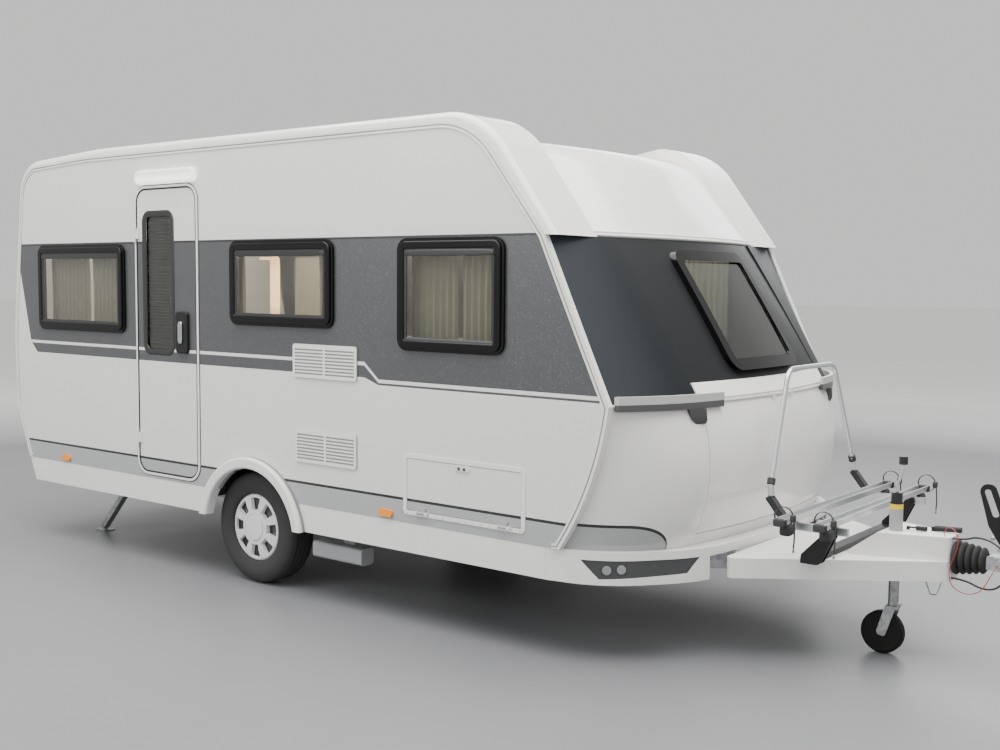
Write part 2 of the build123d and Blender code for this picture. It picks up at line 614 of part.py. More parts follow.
door_ring = opening_face(DOOR) - opening_face(inset(DOOR, DOOR_BAND))
door_frame = across(door_ring, HALF - WALL, HALF + DOOR_PROUD)
hinge_x, hinge_y = DOOR[0] + 10, HALF + DOOR_PROUD + 8
for z in DOOR_HINGES:
    door_frame += rod((hinge_x, hinge_y, z - 50), (hinge_x, hinge_y, z + 50), 4)
    for low, high in ((z - 50, z - 30 - SEAT), (z + 30 + SEAT, z + 50)):
        door_frame += block(hinge_x - 7, hinge_x + 7, HALF + 1, hinge_y + 7, low, high)
leaf = across(opening_face(inset(DOOR, DOOR_BAND + DOOR_GAP)), HALF - LEAF_THICK, HALF + 3)
leaf -= across(opening_face(DOOR_GLASS), HALF - 60, HALF + 60)
for z in DOOR_HINGES:
    leaf += block(hinge_x, hinge_x + 36, HALF + DOOR_PROUD + 0.5, HALF + DOOR_PROUD + 7, z - 30, z + 30)
    leaf += block(hinge_x + 18, hinge_x + 36, HALF, HALF + DOOR_PROUD + 7, z - 30, z + 30)
    leaf += rod((hinge_x, hinge_y, z - 30), (hinge_x, hinge_y, z + 30), 7.5)
    leaf -= rod((hinge_x, hinge_y, z - 31), (hinge_x, hinge_y, z + 31), 4 + SEAT)
pieces["door"] = other_side(leaf)
pane = across(opening_face(inset(DOOR_GLASS, PANEL_FIT)), HALF - 14, HALF - 6)
pieces["door_pane"] = other_side(pane)
handle = across(opening_face(DOOR_HANDLE), HALF + 3, HALF + 22)
handle = fillet(handle.edges().filter_by(lambda e: abs(e.center().Y - HALF - 22) < 0.1), 8)
pieces["door_handle"] = other_side(handle)
flap_ring = opening_face(FLAP) - opening_face(inset(FLAP, FLAP_BAND))
flap_frame = across(flap_ring, HALF - WALL, HALF + 4)
flap_z, flap_y = FLAP[2] + 18, HALF + 12
for x in FLAP_HINGES:
    flap_frame += rod((x - 40, flap_y, flap_z), (x + 40, flap_y, flap_z), 3)
    for low, high in ((x - 40, x - 25 - SEAT), (x + 25 + SEAT, x + 40)):
        flap_frame += block(low, high, HALF + 1, flap_y + 6, flap_z - 6, flap_z + 6)
pieces["side_frames"] = other_side(Compound([door_frame, flap_frame]))
flap = across(opening_face(inset(FLAP, FLAP_BAND + 3)), HALF - 28, HALF + 2)
flap += across(opening_face(FLAP_LATCH), HALF, HALF + FLAP_LATCH_PROUD)
for x in FLAP_HINGES:
    flap += block(x - 25, x + 25, flap_y - 5, flap_y - 1, flap_z, flap_z + 26)
    flap += block(x - 25, x + 25, HALF, flap_y - 1, flap_z + 12, flap_z + 26)
    flap += rod((x - 25, flap_y, flap_z), (x + 25, flap_y, flap_z), 5.5)
    flap -= rod((x - 26, flap_y, flap_z), (x + 26, flap_y, flap_z), 3 + SEAT)
pieces["service_flap"] = other_side(flap)

# Chassis
def c_rail(strip, inner_strip, z_from, z_to):
    return upwards(strip, z_from, z_to) - upwards(inner_strip, z_from + RAIL_WALL, z_to - RAIL_WALL)


main_strip = plate_xy(((RAIL_REAR_X, RAIL_Y), (KNEE_X - 160, RAIL_Y), (KNEE_X - 160, RAIL_Y - RAIL_FLANGE),
                       (RAIL_REAR_X, RAIL_Y - RAIL_FLANGE)))
main_inner = plate_xy(((RAIL_REAR_X - 10, RAIL_Y - RAIL_WALL), (KNEE_X, RAIL_Y - RAIL_WALL),
                       (KNEE_X, RAIL_Y - 100), (RAIL_REAR_X - 10, RAIL_Y - 100)))
rail = c_rail(main_strip, main_inner, FLOOR_UNDER - RAIL_HEIGHT, FLOOR_UNDER)
cross_members = [block(x, x + 50, -RAIL_Y + RAIL_WALL, RAIL_Y - RAIL_WALL, FLOOR_UNDER - 70, FLOOR_UNDER - RAIL_WALL)
                 for x in CROSS_X]
chassis = rail + other_side(rail)
for member in cross_members:
    chassis += member
pieces["chassis"] = chassis

lean = atan2(RAIL_Y - RAIL_FLANGE - APEX_Y, APEX_X - KNEE_X)
draw_outer = ((2250, RAIL_Y - 50), (KNEE_X - 40, RAIL_Y - 50), (APEX_X, APEX_Y))
width_x, width_y = 40 * sin(lean), 40 * cos(lean)
draw_inner = ((APEX_X - width_x, APEX_Y - width_y), (KNEE_X - 40 - 12, RAIL_Y - 90), (2250, RAIL_Y - 90))
draw_strip = plate_xy(draw_outer + draw_inner)
member = upwards(draw_strip, DRAW_LOW, DRAW_HIGH)
shaft = rod((3500, 0, SHAFT_Z), (HEAD_REAR, 0, SHAFT_Z), 25)
front_plate = block(3480, 3536, -40, 40, DRAW_LOW, DRAW_HIGH)
jockey_hole = rod((JOCKEY_X, JOCKEY_Y, 200), (JOCKEY_X, JOCKEY_Y, 900), JOCKEY_TUBE + 2)
overrun = block(3345, 3534, -44, 44, DRAW_HIGH - 20, 540)
overrun -= rod((JOCKEY_X, JOCKEY_Y, 200), (JOCKEY_X, JOCKEY_Y, 900), JOCKEY_TUBE + 1)
hook = pipe(HOOK_ROUTE, [10, 10], HOOK_WIRE)
pieces["drawbar"] = member + other_side(member) + front_plate + overrun + shaft + hook

cover_points = (COVER_REAR, COVER_FRONT, (COVER_FRONT[0], -COVER_FRONT[1]), (COVER_REAR[0], -COVER_REAR[1]))
cover_plan = plate_xy(cover_points, [30, 20, 20, 30])
hump_front = COVER_FRONT[0] + 5
hump_points = ((HUMP_START - HUMP_RAMP, HUMP_HALF), (hump_front, 62), (hump_front, -62),
               (HUMP_START - HUMP_RAMP, -HUMP_HALF))
hump_plan = plate_xy(hump_points, [40, 20, 20, 40])
ramp_foot = HUMP_START - HUMP_RAMP
hump_side = plate_xz(((ramp_foot, COVER_LOW), (ramp_foot, COVER_TOP), (HUMP_START + HUMP_RAMP / 2, HUMP_TOP),
                      (hump_front, HUMP_TOP), (hump_front, COVER_LOW)))
cover = upwards(cover_plan, COVER_LOW, COVER_TOP) + (across(hump_side, -HUMP_HALF, HUMP_HALF) & upwards(
    hump_plan, COVER_LOW, HUMP_TOP))
cover_hollow = upwards(offset(cover_plan, -COVER_WALL), COVER_LOW - 10, COVER_TOP - COVER_WALL)
hump_hollow = upwards(offset(hump_plan, -COVER_WALL), COVER_LOW - 10, HUMP_TOP - COVER_WALL)
hump_hollow = hump_hollow & across(hump_side.moved(Location((0, 0, -COVER_WALL))), -HUMP_HALF, HUMP_HALF)
cover = cover - cover_hollow - hump_hollow - jockey_hole
cover -= rod((3500, 0, SHAFT_Z), (3600, 0, SHAFT_Z), 32)
cover -= block(COVER_REAR[0] - 15, COVER_REAR[0] + 8, -COVER_REAR[1] + 24, COVER_REAR[1] - 24, 0, COVER_TOP - COVER_WALL)
pieces["drawbar_cover"] = cover


# Gaiter and coupling head
def gaiter():
    points = [(3546.0, 26.0), (3546.0, 82.0)]
    length = (HEAD_REAR - 4 - 3546.0) / GAITER_FOLDS
    for index in range(GAITER_FOLDS):
        share = index / (GAITER_FOLDS - 1)
        crest = 82.0 - 24.0 * share
        root = crest - 20.0
        start = 3546.0 + index * length
        points += [(start + 0.25 * length, crest + 2), (start + 0.5 * length, crest)]
        points += [(start + length, root)]
    points += [(HEAD_REAR - 4, 26.0)]
    profile = make_face(Polyline([Vector(x, 0, SHAFT_Z + r) for x, r in points], close=True))
    return revolve(profile, axis=Axis((0, 0, SHAFT_Z), (1, 0, 0)))


pieces["gaiter"] = gaiter()
head_face = plate_xz(((HEAD_REAR, SHAFT_Z - 30), (HEAD_REAR, SHAFT_Z + 32), (3860, SHAFT_Z + 30),
                      (COUPLING_X + 52, COUPLING_Z + 20), (COUPLING_X + 52, COUPLING_Z - 12),
                      (COUPLING_X - 40, COUPLING_Z - 12)), [4, 14, 40, 10, 4, 14])
head = across(head_face, -36, 36)
cup = Pos(COUPLING_X, 0, COUPLING_Z) * Sphere(42)
cup &= block(3800, 4100, -60, 60, COUPLING_Z - 12, COUPLING_Z + 60)
head = head + cup
head -= Pos(COUPLING_X, 0, COUPLING_Z) * Sphere(BALL_RADIUS + BALL_CLEAR)
head -= rod((COUPLING_X, 0, COUPLING_Z - 40), (COUPLING_X, 0, COUPLING_Z), BALL_RADIUS + BALL_CLEAR)
head -= rod((HEAD_REAR - 5, 0, SHAFT_Z), (HEAD_REAR + 0.3, 0, SHAFT_Z), 26)
pieces["coupling_head"] = head
lever_face = plate_xz(((3790, 520), (3840, 500), (3800, 640), (3720, 850), (3650, 842), (3700, 660)),
                      [10, 10, 30, 34, 34, 30])
lever_slot = plate_xz(((3718, 700), (3748, 706), (3702, 826), (3674, 818)), [12, 12, 12, 12])
handle_side = across(lever_face, -45.3, -36.3) - across(lever_slot, -60, -30)
brake_grip = rod((3440, 40, HUMP_TOP + 14), (3560, 40, HUMP_TOP + 20), 13)
brake_lever = block(3425, 3445, 34, 46, HUMP_TOP + 0.3, HUMP_TOP + 20)
clamp_lever = block(3324, 3336, -6, 6, HUMP_TOP + SEAT, HUMP_TOP + 16) + rod((3330, 0, HUMP_TOP + 12),
                                                                     (3372, -4, HUMP_TOP + 13), 4)
clamp_lever += rod((3370, -4, HUMP_TOP + 13), (3418, -8, HUMP_TOP + 14), 11)
pieces["hand_levers"] = Compound([handle_side, brake_grip + brake_lever, clamp_lever])


# Free cables
def cord(points, diameter):
    places = [Vector(*point) for point in points]
    radii = []
    for before, here, after in zip(places, places[1:], places[2:]):
        turn = (here - before).get_angle(after - here) * pi / 180
        shorter = min((here - before).length, (after - here).length)
        radii.append(CORD_SHARE * shorter / tan(turn / 2))
    path = FilletPolyline(places, radius=radii)
    solid = sweep(Plane(origin=path @ 0, z_dir=path % 0) * Circle(diameter / 2), path=path)
    print("cord", diameter, "length", round(path.length, 1), "radii", [round(r, 1) for r in radii],
          "volume", round(solid.volume), "section by length", round(pi * diameter ** 2 / 4 * path.length))
    return solid


pieces["trailer_cable"] = cord(TRAILER_ROUTE, TRAILER_CABLE)
pieces["breakaway_cable"] = cord(BREAKAWAY_ROUTE, BREAKAWAY_CABLE)

# Axle
arm_in, arm_out = WHEEL_Y - 178, WHEEL_Y - 150
axle_tube = rod((AXLE_TUBE_X, 2 - arm_in, AXLE_TUBE_Z), (AXLE_TUBE_X, arm_in - 2, AXLE_TUBE_Z), 45)
arm_face = plate_xz(((AXLE_TUBE_X + 40, AXLE_TUBE_Z - 30), (AXLE_TUBE_X + 40, AXLE_TUBE_Z + 30),
                     (-35, TYRE_RADIUS + 28), (-35, TYRE_RADIUS - 28)), [20, 20, 20, 20])
arm = across(arm_face, arm_in, arm_out)
drum = rod((0, arm_out, TYRE_RADIUS), (0, WHEEL_Y - 52, TYRE_RADIUS), 110)
stub = rod((0, WHEEL_Y - 53, TYRE_RADIUS), (0, WHEEL_Y + 50, TYRE_RADIUS), 24)
mounts = block(AXLE_TUBE_X - 60, AXLE_TUBE_X + 60, RAIL_Y + 0.3, RAIL_Y + 12, AXLE_TUBE_Z - 60, FLOOR_UNDER - 10)
axle_half = arm + drum + stub
axle_half += rod((AXLE_TUBE_X, arm_in - 3, AXLE_TUBE_Z), (AXLE_TUBE_X, arm_in + 1, AXLE_TUBE_Z), 40)
axle_half += mounts
pieces["axle"] = axle_tube + axle_half + other_side(axle_half)
pieces["chassis"] = pieces["chassis"] - rod((AXLE_TUBE_X, -900, AXLE_TUBE_Z), (AXLE_TUBE_X, 900, AXLE_TUBE_Z), 46)


# Wheels
def tyre():
    half = TYRE_WIDTH / 2
    points = ((RIM_RADIUS, -half + 18), (RIM_RADIUS + 30, -half), (TYRE_RADIUS - 40, -half), (TYRE_RADIUS - 5, -half + 22),
              (TYRE_RADIUS, 0), (TYRE_RADIUS - 5, half - 22), (TYRE_RADIUS - 40, half), (RIM_RADIUS + 30, half),
              (RIM_RADIUS, half - 18))
    chain = FilletPolyline([Vector(0, WHEEL_Y + y, TYRE_RADIUS + r) for r, y in points],
                           radius=[8, 30, 14, 500, 14, 30, 8])
    profile = make_face(Curve() + [chain, Line(chain @ 1, chain @ 0)])
    return revolve(profile, axis=Axis((0, 0, TYRE_RADIUS), (0, 1, 0)))


def wheel():
    half = TYRE_WIDTH / 2
    outer = RIM_RADIUS - 0.3
    rim_points = ((outer, -half + 16), (outer, half - 16), (outer - 10, half - 12), (outer - 14, half - 30),
                  (outer - 22, -half + 24), (outer - 14, -half + 14))
    profile = plate_yz(rim_points)
    rim = revolve(profile, axis=Axis((0, 0, TYRE_RADIUS), (0, 1, 0)))
    trim_points = ((0, half - 2), (46, half - 2), (54, half - 10), (120, half - 16), (outer - 22, half - 8),
                   (TRIM_RADIUS - 8, half - 9), (TRIM_RADIUS - 8, half - 17), (outer - 30, half - 18),
                   (120, half - 24), (54, half - 40), (0, half - 40))
    trim = revolve(plate_yz(trim_points), axis=Axis((0, 0, TYRE_RADIUS), (0, 1, 0)))
    hole_face = plate_xz(((-20, TYRE_RADIUS + 150), (20, TYRE_RADIUS + 150), (0, TYRE_RADIUS + 112)), [6, 6, 6])
    hole = across(hole_face, WHEEL_Y, WHEEL_Y + half + 10)
    axis = Axis((0, 0, TYRE_RADIUS), (0, 1, 0))
    for index in range(TRIM_HOLES):
        trim -= hole.rotate(axis, index * 360 / TRIM_HOLES)
    disc = rod((0, WHEEL_Y + 41, TYRE_RADIUS), (0, WHEEL_Y + half - 38, TYRE_RADIUS), 100)
    web = revolve(plate_yz(((80, 41), (outer - 16, 22), (outer - 16, 30), (80, 50))),
                  axis=Axis((0, 0, TYRE_RADIUS), (0, 1, 0)))
    bore = rod((0, WHEEL_Y, TYRE_RADIUS), (0, WHEEL_Y + 51, TYRE_RADIUS), 24 + SEAT)
    return rim + trim + disc + web - bore


def plate_yz(points):
    return make_face(Polyline([Vector(0, WHEEL_Y + y, TYRE_RADIUS + r) for r, y in points], close=True))


pieces["tyre_left"] = tyre()
pieces["tyre_right"] = other_side(pieces["tyre_left"])
pieces["wheel_left"] = wheel()
pieces["wheel_right"] = other_side(pieces["wheel_left"])

# Movers
mover = block(385, 760, 905, 1000, 195, 285)
mover = fillet(mover.edges().filter_by(Axis.X), 20)
mover_arm = block(560, 640, RAIL_Y + 0.3, 930, 270, 326)
pieces["movers"] = both_sides(mover + mover_arm + block(560, 640, RAIL_Y + 0.3, RAIL_Y + 10, 300, 440))

# Steadies
def steady_leg():
    drop = STEADY_PIVOT_Z - STEADY_FOOT
    angle = asin(drop / STEADY_LENGTH)
    leg = block(-20, STEADY_LENGTH, -22, 22, -18, 18) - block(-30, STEADY_LENGTH + 10, -19, 19, -15, 30)
    for index in range(5):
        leg -= rod((110 + index * 80, -40, 0), (110 + index * 80, 40, 0), 8)
    leg = leg.rotate(Axis.Y, degrees(angle))
    end_x = STEADY_LENGTH * cos(angle)
    foot = block(-55, 55, -40, 40, 0, 6) + block(-12, 12, -14, 14, 5, STEADY_FOOT + 4)
    foot = foot.moved(Location((end_x, 0, -STEADY_PIVOT_Z)))
    pin = rod((end_x, -24, -drop), (end_x, 24, -drop), 7)
    return leg + foot + pin - rod((0, -40, 0), (0, 40, 0), 6.3), degrees(angle)


leg, down_angle = steady_leg()
print("steady swing", round(down_angle, 3))
for name, x, side_y, forward, folded in STEADIES:
    placed = leg.rotate(Axis.Y, -down_angle) if folded else leg
    if forward < 0:
        placed = placed.mirror(Plane.YZ)
    pieces[name] = placed.moved(Location((x, side_y * STEADY_Y, STEADY_PIVOT_Z)))


def make_bracket(x, y):
    bracket = rod((x, y - 24, STEADY_PIVOT_Z), (x, y + 24, STEADY_PIVOT_Z), 6)
    for edge in (-1, 1):
        bracket += block(x - 30, x + 30, y + edge * 26 - 2, y + edge * 26 + 2, STEADY_PIVOT_Z - 25, FLOOR_UNDER)
    return bracket


pieces["chassis"] = Compound([pieces["chassis"]] + [make_bracket(x, side_y * STEADY_Y) for _, x, side_y, _, _ in STEADIES])

# Jockey wheel
tube = rod((JOCKEY_X, JOCKEY_Y, JOCKEY_LOW), (JOCKEY_X, JOCKEY_Y, JOCKEY_TOP), JOCKEY_TUBE)
tube -= rod((JOCKEY_X, JOCKEY_Y, JOCKEY_LOW - 10), (JOCKEY_X, JOCKEY_Y, JOCKEY_TOP - 6), JOCKEY_INNER + 1)
clamp = block(JOCKEY_X - 25, JOCKEY_X + 25, -130, 130, DRAW_HIGH + SEAT, DRAW_HIGH + 24)
clamp -= rod((JOCKEY_X, JOCKEY_Y, 300), (JOCKEY_X, JOCKEY_Y, 800), JOCKEY_TUBE)
crank_cap = rod((JOCKEY_X, JOCKEY_Y, JOCKEY_TOP), (JOCKEY_X, JOCKEY_Y, JOCKEY_TOP + 45), 26)
crank = pipe([(JOCKEY_X, JOCKEY_Y, JOCKEY_TOP + 44), (JOCKEY_X, JOCKEY_Y, JOCKEY_TOP + 80),
              (JOCKEY_X + 25, JOCKEY_Y, JOCKEY_TOP + 150), (JOCKEY_X + 25, JOCKEY_Y, JOCKEY_TOP + 180)], [12, 12], 7)
knob = rod((JOCKEY_X + 25, JOCKEY_Y, JOCKEY_TOP + 178), (JOCKEY_X + 25, JOCKEY_Y, JOCKEY_TOP + 215), 20)
pieces["jockey_tube"] = tube + clamp + crank_cap + crank + knob
inner = rod((JOCKEY_X, JOCKEY_Y, 235), (JOCKEY_X, JOCKEY_Y, 520), JOCKEY_INNER)
pieces["jockey_leg"] = inner
fork_top = rod((JOCKEY_X, JOCKEY_Y, 215), (JOCKEY_X, JOCKEY_Y, 234.7), 27)
fork_x = JOCKEY_X - JOCKEY_TRAIL
fork = fork_top
for edge in (-1, 1):
    y = JOCKEY_Y + edge * 37
    face = plate_xz(((JOCKEY_X + 25, 234), (JOCKEY_X - 25, 234), (fork_x - 22, 95), (fork_x + 22, 85)), [6, 6, 18, 18])
    fork += across(face, y - 2.5, y + 2.5)
fork += block(JOCKEY_X - 25, JOCKEY_X + 25, JOCKEY_Y - 39, JOCKEY_Y + 39, 226, 234)
fork += rod((fork_x, JOCKEY_Y - 39, JOCKEY_WHEEL), (fork_x, JOCKEY_Y + 39, JOCKEY_WHEEL), 8)
pieces["jockey_fork"] = fork
jockey_wheel = rod((fork_x, JOCKEY_Y - 32, JOCKEY_WHEEL), (fork_x, JOCKEY_Y + 32, JOCKEY_WHEEL), JOCKEY_WHEEL)
jockey_wheel = fillet(jockey_wheel.edges(), 18)
wheel_bore = rod((fork_x, JOCKEY_Y - 40, JOCKEY_WHEEL), (fork_x, JOCKEY_Y + 40, JOCKEY_WHEEL), 8 + SEAT)
pieces["jockey_wheel"] = jockey_wheel - wheel_bore

# Cycle carrier
hoop = pipe([(2863, -CARRIER_Y + 8, 800), (2836, -266, 1324), (2836, 266, 1324), (2863, CARRIER_Y - 8, 800)],
            [80, 80], HOOP_RADIUS)
carrier = hoop
pivot_x, pivot_z = CARRIER_PIVOT
for edge in (-1, 1):
    y = edge * CARRIER_Y
    carrier += rod((2875, y - edge * 2, 735), (2863, y - edge * 8, 805), 15)
    carrier += across(plate_xz(BRACKET_PLATE, [8, 8, 8, 8]), y - BRACKET_HALF, y + BRACKET_HALF)
    bar_low, bar_high = CARRIER_BAR_Z
    carrier += block(2935, pivot_x + 63, y - CARRIER_BAR_HALF, y + CARRIER_BAR_HALF, bar_low, bar_high)
rail_profile = plate_xz(((-26, 26), (-22, 26), (-18, 2), (18, 2), (22, 26), (26, 26), (21, -3), (-21, -3)))
for x in CARRIER_RAILS:
    rail_bar = across(rail_profile.moved(Location((x, 0, CARRIER_RAIL_Z))), -CARRIER_RAIL_HALF, CARRIER_RAIL_HALF)
    carrier += rail_bar
    for edge in (-1, 1):
        y = edge * CARRIER_Y
        carrier += block(x - 16, x + 16, y - CARRIER_BAR_HALF, y + CARRIER_BAR_HALF, bar_high - 1, CARRIER_RAIL_Z - 2.5)
pieces["carrier"] = carrier
ear_middle = CARRIER_BAR_HALF + CARRIER_EAR_GAP + CARRIER_EAR / 2
beam_half = CARRIER_Y + ear_middle + CARRIER_EAR / 2
base = block(3030, 3090, -beam_half, beam_half, COVER_TOP + SEAT, COVER_TOP + 26)
for edge in (-1, 1):
    for side_y in (-1, 1):
        y = edge * CARRIER_Y + side_y * ear_middle
        ear = plate_xz(((3032, COVER_TOP + 1), (3120, COVER_TOP + 1), (pivot_x + 16, pivot_z - 8),
                        (pivot_x + 6, pivot_z + 16), (pivot_x - 16, pivot_z + 12), (3032, COVER_TOP + 40)),
                       [3, 30, 12, 10, 10, 10])
        base += across(ear, y - CARRIER_EAR / 2, y + CARRIER_EAR / 2)
    base += rod((pivot_x, edge * CARRIER_Y - ear_middle, pivot_z), (pivot_x, edge * CARRIER_Y + ear_middle, pivot_z), 6)
pieces["carrier_base"] = base
pieces["carrier"] = carrier - both_sides(rod((pivot_x, CARRIER_Y - 30, pivot_z), (pivot_x, CARRIER_Y + 30, pivot_z), 6.3))

# Roof hatches
hatches = []
for x_from, x_to, half_y in HATCHES:
    hatch = block(x_from, x_to, -half_y, half_y, ROOF_TOP + 0.3, ROOF_TOP + 55)
    hatches.append(fillet(hatch.edges().filter_by(Axis.Z), 30))
pieces["roof_hatches"] = Compound(hatches)

print("lid hinge", round(LID_HINGE[0], 3), LID_HINGE[1])
boxes = [shape.bounding_box() for shape in pieces.values()]
shift = -(min(b.min.X for b in boxes) + max(b.max.X for b in boxes)) / 2
print("axle x", round(shift, 3), "low", min(b.min.Z for b in boxes), "wide", min(b.min.Y for b in boxes),
      max(b.max.Y for b in boxes))
os.makedirs("parts", exist_ok=True)
for name, shape in pieces.items():
    export_step(shape.moved(Location((shift, 0, 0))), f"parts/{name}.step")
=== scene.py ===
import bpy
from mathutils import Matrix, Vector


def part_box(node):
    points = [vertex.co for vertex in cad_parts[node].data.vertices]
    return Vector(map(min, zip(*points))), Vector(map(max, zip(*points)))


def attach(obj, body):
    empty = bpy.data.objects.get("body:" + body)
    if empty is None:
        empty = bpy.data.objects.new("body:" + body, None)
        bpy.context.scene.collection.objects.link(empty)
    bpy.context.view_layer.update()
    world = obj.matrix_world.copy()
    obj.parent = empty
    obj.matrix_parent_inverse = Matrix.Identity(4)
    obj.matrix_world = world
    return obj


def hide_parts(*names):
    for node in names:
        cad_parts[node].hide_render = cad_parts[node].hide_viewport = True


bl_info = {
    "name": "Travel Caravan",
    "version": (1, 0, 0),
    "blender": (4, 5, 0),
    "location": "3D View > Sidebar > Caravan",
    "description": "Dresses the packed caravan frame: finishes, windows, wheels, drawbar and studio",
    "category": "Add Mesh",
}

import math

import bmesh
import bpy
import numpy as np
from bpy.props import FloatProperty, FloatVectorProperty, IntProperty, PointerProperty
from mathutils import Matrix, Vector

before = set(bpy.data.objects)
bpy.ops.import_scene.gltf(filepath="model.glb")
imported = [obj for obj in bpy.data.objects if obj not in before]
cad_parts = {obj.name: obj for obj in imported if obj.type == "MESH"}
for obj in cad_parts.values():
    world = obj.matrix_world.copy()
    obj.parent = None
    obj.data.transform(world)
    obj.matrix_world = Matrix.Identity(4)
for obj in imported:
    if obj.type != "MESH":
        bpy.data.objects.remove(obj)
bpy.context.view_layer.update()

# Places, in metres. X is counted from the axle, as in the part's source.
WHEEL_LOW, WHEEL_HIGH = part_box("tyre_left")
AXLE_X = (WHEEL_LOW.x + WHEEL_HIGH.x) / 2
WHEEL_Y = (WHEEL_LOW.y + WHEEL_HIGH.y) / 2
TYRE_RADIUS = (WHEEL_HIGH.x - WHEEL_LOW.x) / 2
TYRE_HALF = (WHEEL_HIGH.y - WHEEL_LOW.y) / 2
CAP_FACE = WHEEL_Y + TYRE_HALF - 0.002
RIM_RADIUS = 0.192
# Side walls: half of the width between their outer faces
HALF = 1.150

# Side windows: x from, x to, z from, z to
SIDE_WINDOWS = (
    (-2.050, -1.100, 1.386, 1.930),
    (-0.107, 0.715, 1.470, 1.935),
    (1.170, 1.837, 1.380, 1.930),
)
# Half of the gap between a side window's two curtains, and how far the first is drawn to the rear
CURTAIN_GAPS = ((0.015, 0.0), (0.22, 0.16), (0.015, 0.0))
# Door leaf and its glass: x from, x to, z from, z to, corner radius
DOOR = (-0.994, -0.397, 0.540, 2.270, 0.100)
DOOR_GLASS = (-0.912, -0.628, 1.280, 2.112, 0.055)

SIDES = ((1, "left"), (-1, "right"))

# Free cables: name, diameter, length, finish, slot, places along it in millimetres from the axle
CABLES = (
    ("trailer_cable", 0.009, 0.686, "cable_rubber", "black_rubber", (
        (3545, -36, 400), (3605, -36, 400), (3680, -62, 378), (3750, -95, 388), (3800, -110, 440),
        (3815, -112, 510), (3785, -104, 572), (3720, -85, 605), (3650, -58, 606), (3600, -36, 582),
        (3545, -36, 582))),
    ("breakaway_cable", 0.004, 0.663, "red_sleeve", "red_plastic", (
        (3510, -40, 588), (3510, -40, 622), (3540, -62, 640), (3580, -88, 620), (3592, -100, 575),
        (3580, -104, 525), (3560, -104, 475), (3552, -100, 428), (3562, -94, 382), (3600, -88, 352),
        (3650, -88, 350), (3695, -96, 375), (3722, -100, 425), (3740, -78, 470), (3740, -36, 485))),
)

# Cycle carrier: x of its two rails, height of their floor, and y of their ends
CARRIER_RAILS = (2.992, 3.177)
CARRIER_RAIL_Z = 0.668
RAIL_END = 0.668

# Camera fitted to the photograph: place, and yaw, pitch and roll in degrees
CAMERA_PLACE = (AXLE_X + 5.2182, -5.5019, 1.7252)
CAMERA_TURN = (38.077, -4.4973, 0.4811)
SENSOR_WIDTH = 36.0
# Studio lights: name, place, aimed at, size, power (None: the panel's), tint
STUDIO_LIGHTS = (
    ("ceiling", (0.5, -1.0, 7.0), (0.0, 0.0, 0.0), (11.0, 8.0), None, (1.0, 0.99, 0.97)),
    ("front_fill", (9.0, -6.0, 4.5), (1.0, 0.0, 1.0), (5.0, 4.0), 60.0, (1.0, 0.99, 0.98)),
    ("side_fill", (-3.0, -9.0, 4.0), (0.0, 0.0, 1.2), (7.0, 3.0), 300.0, (0.98, 0.99, 1.0)),
    ("far_fill", (-2.0, 9.0, 5.0), (0.0, 0.0, 1.2), (7.0, 4.0), 260.0, (0.98, 0.99, 1.0)),
)
# Lights in the cabin: name, place, power, tint
CABIN_LIGHTS = (
    ("cabin_rear", (AXLE_X - 1.5, 0.0, 2.2), 34.0, (1.0, 0.93, 0.82)),
    ("cabin_middle", (AXLE_X + 0.3, 0.2, 2.2), 24.0, (1.0, 0.80, 0.55)),
    ("cabin_front", (AXLE_X + 1.6, 0.0, 2.0), 34.0, (1.0, 0.95, 0.86)),
)

# Black line over the low grey band: its paint and half its width
LINE_BLACK = (0.008, 0.008, 0.008)
LINE_HALF = 0.007
# Clear coat of the gel-coated shells
GEL = {"Coat Weight": 0.5, "Coat Roughness": 0.08}
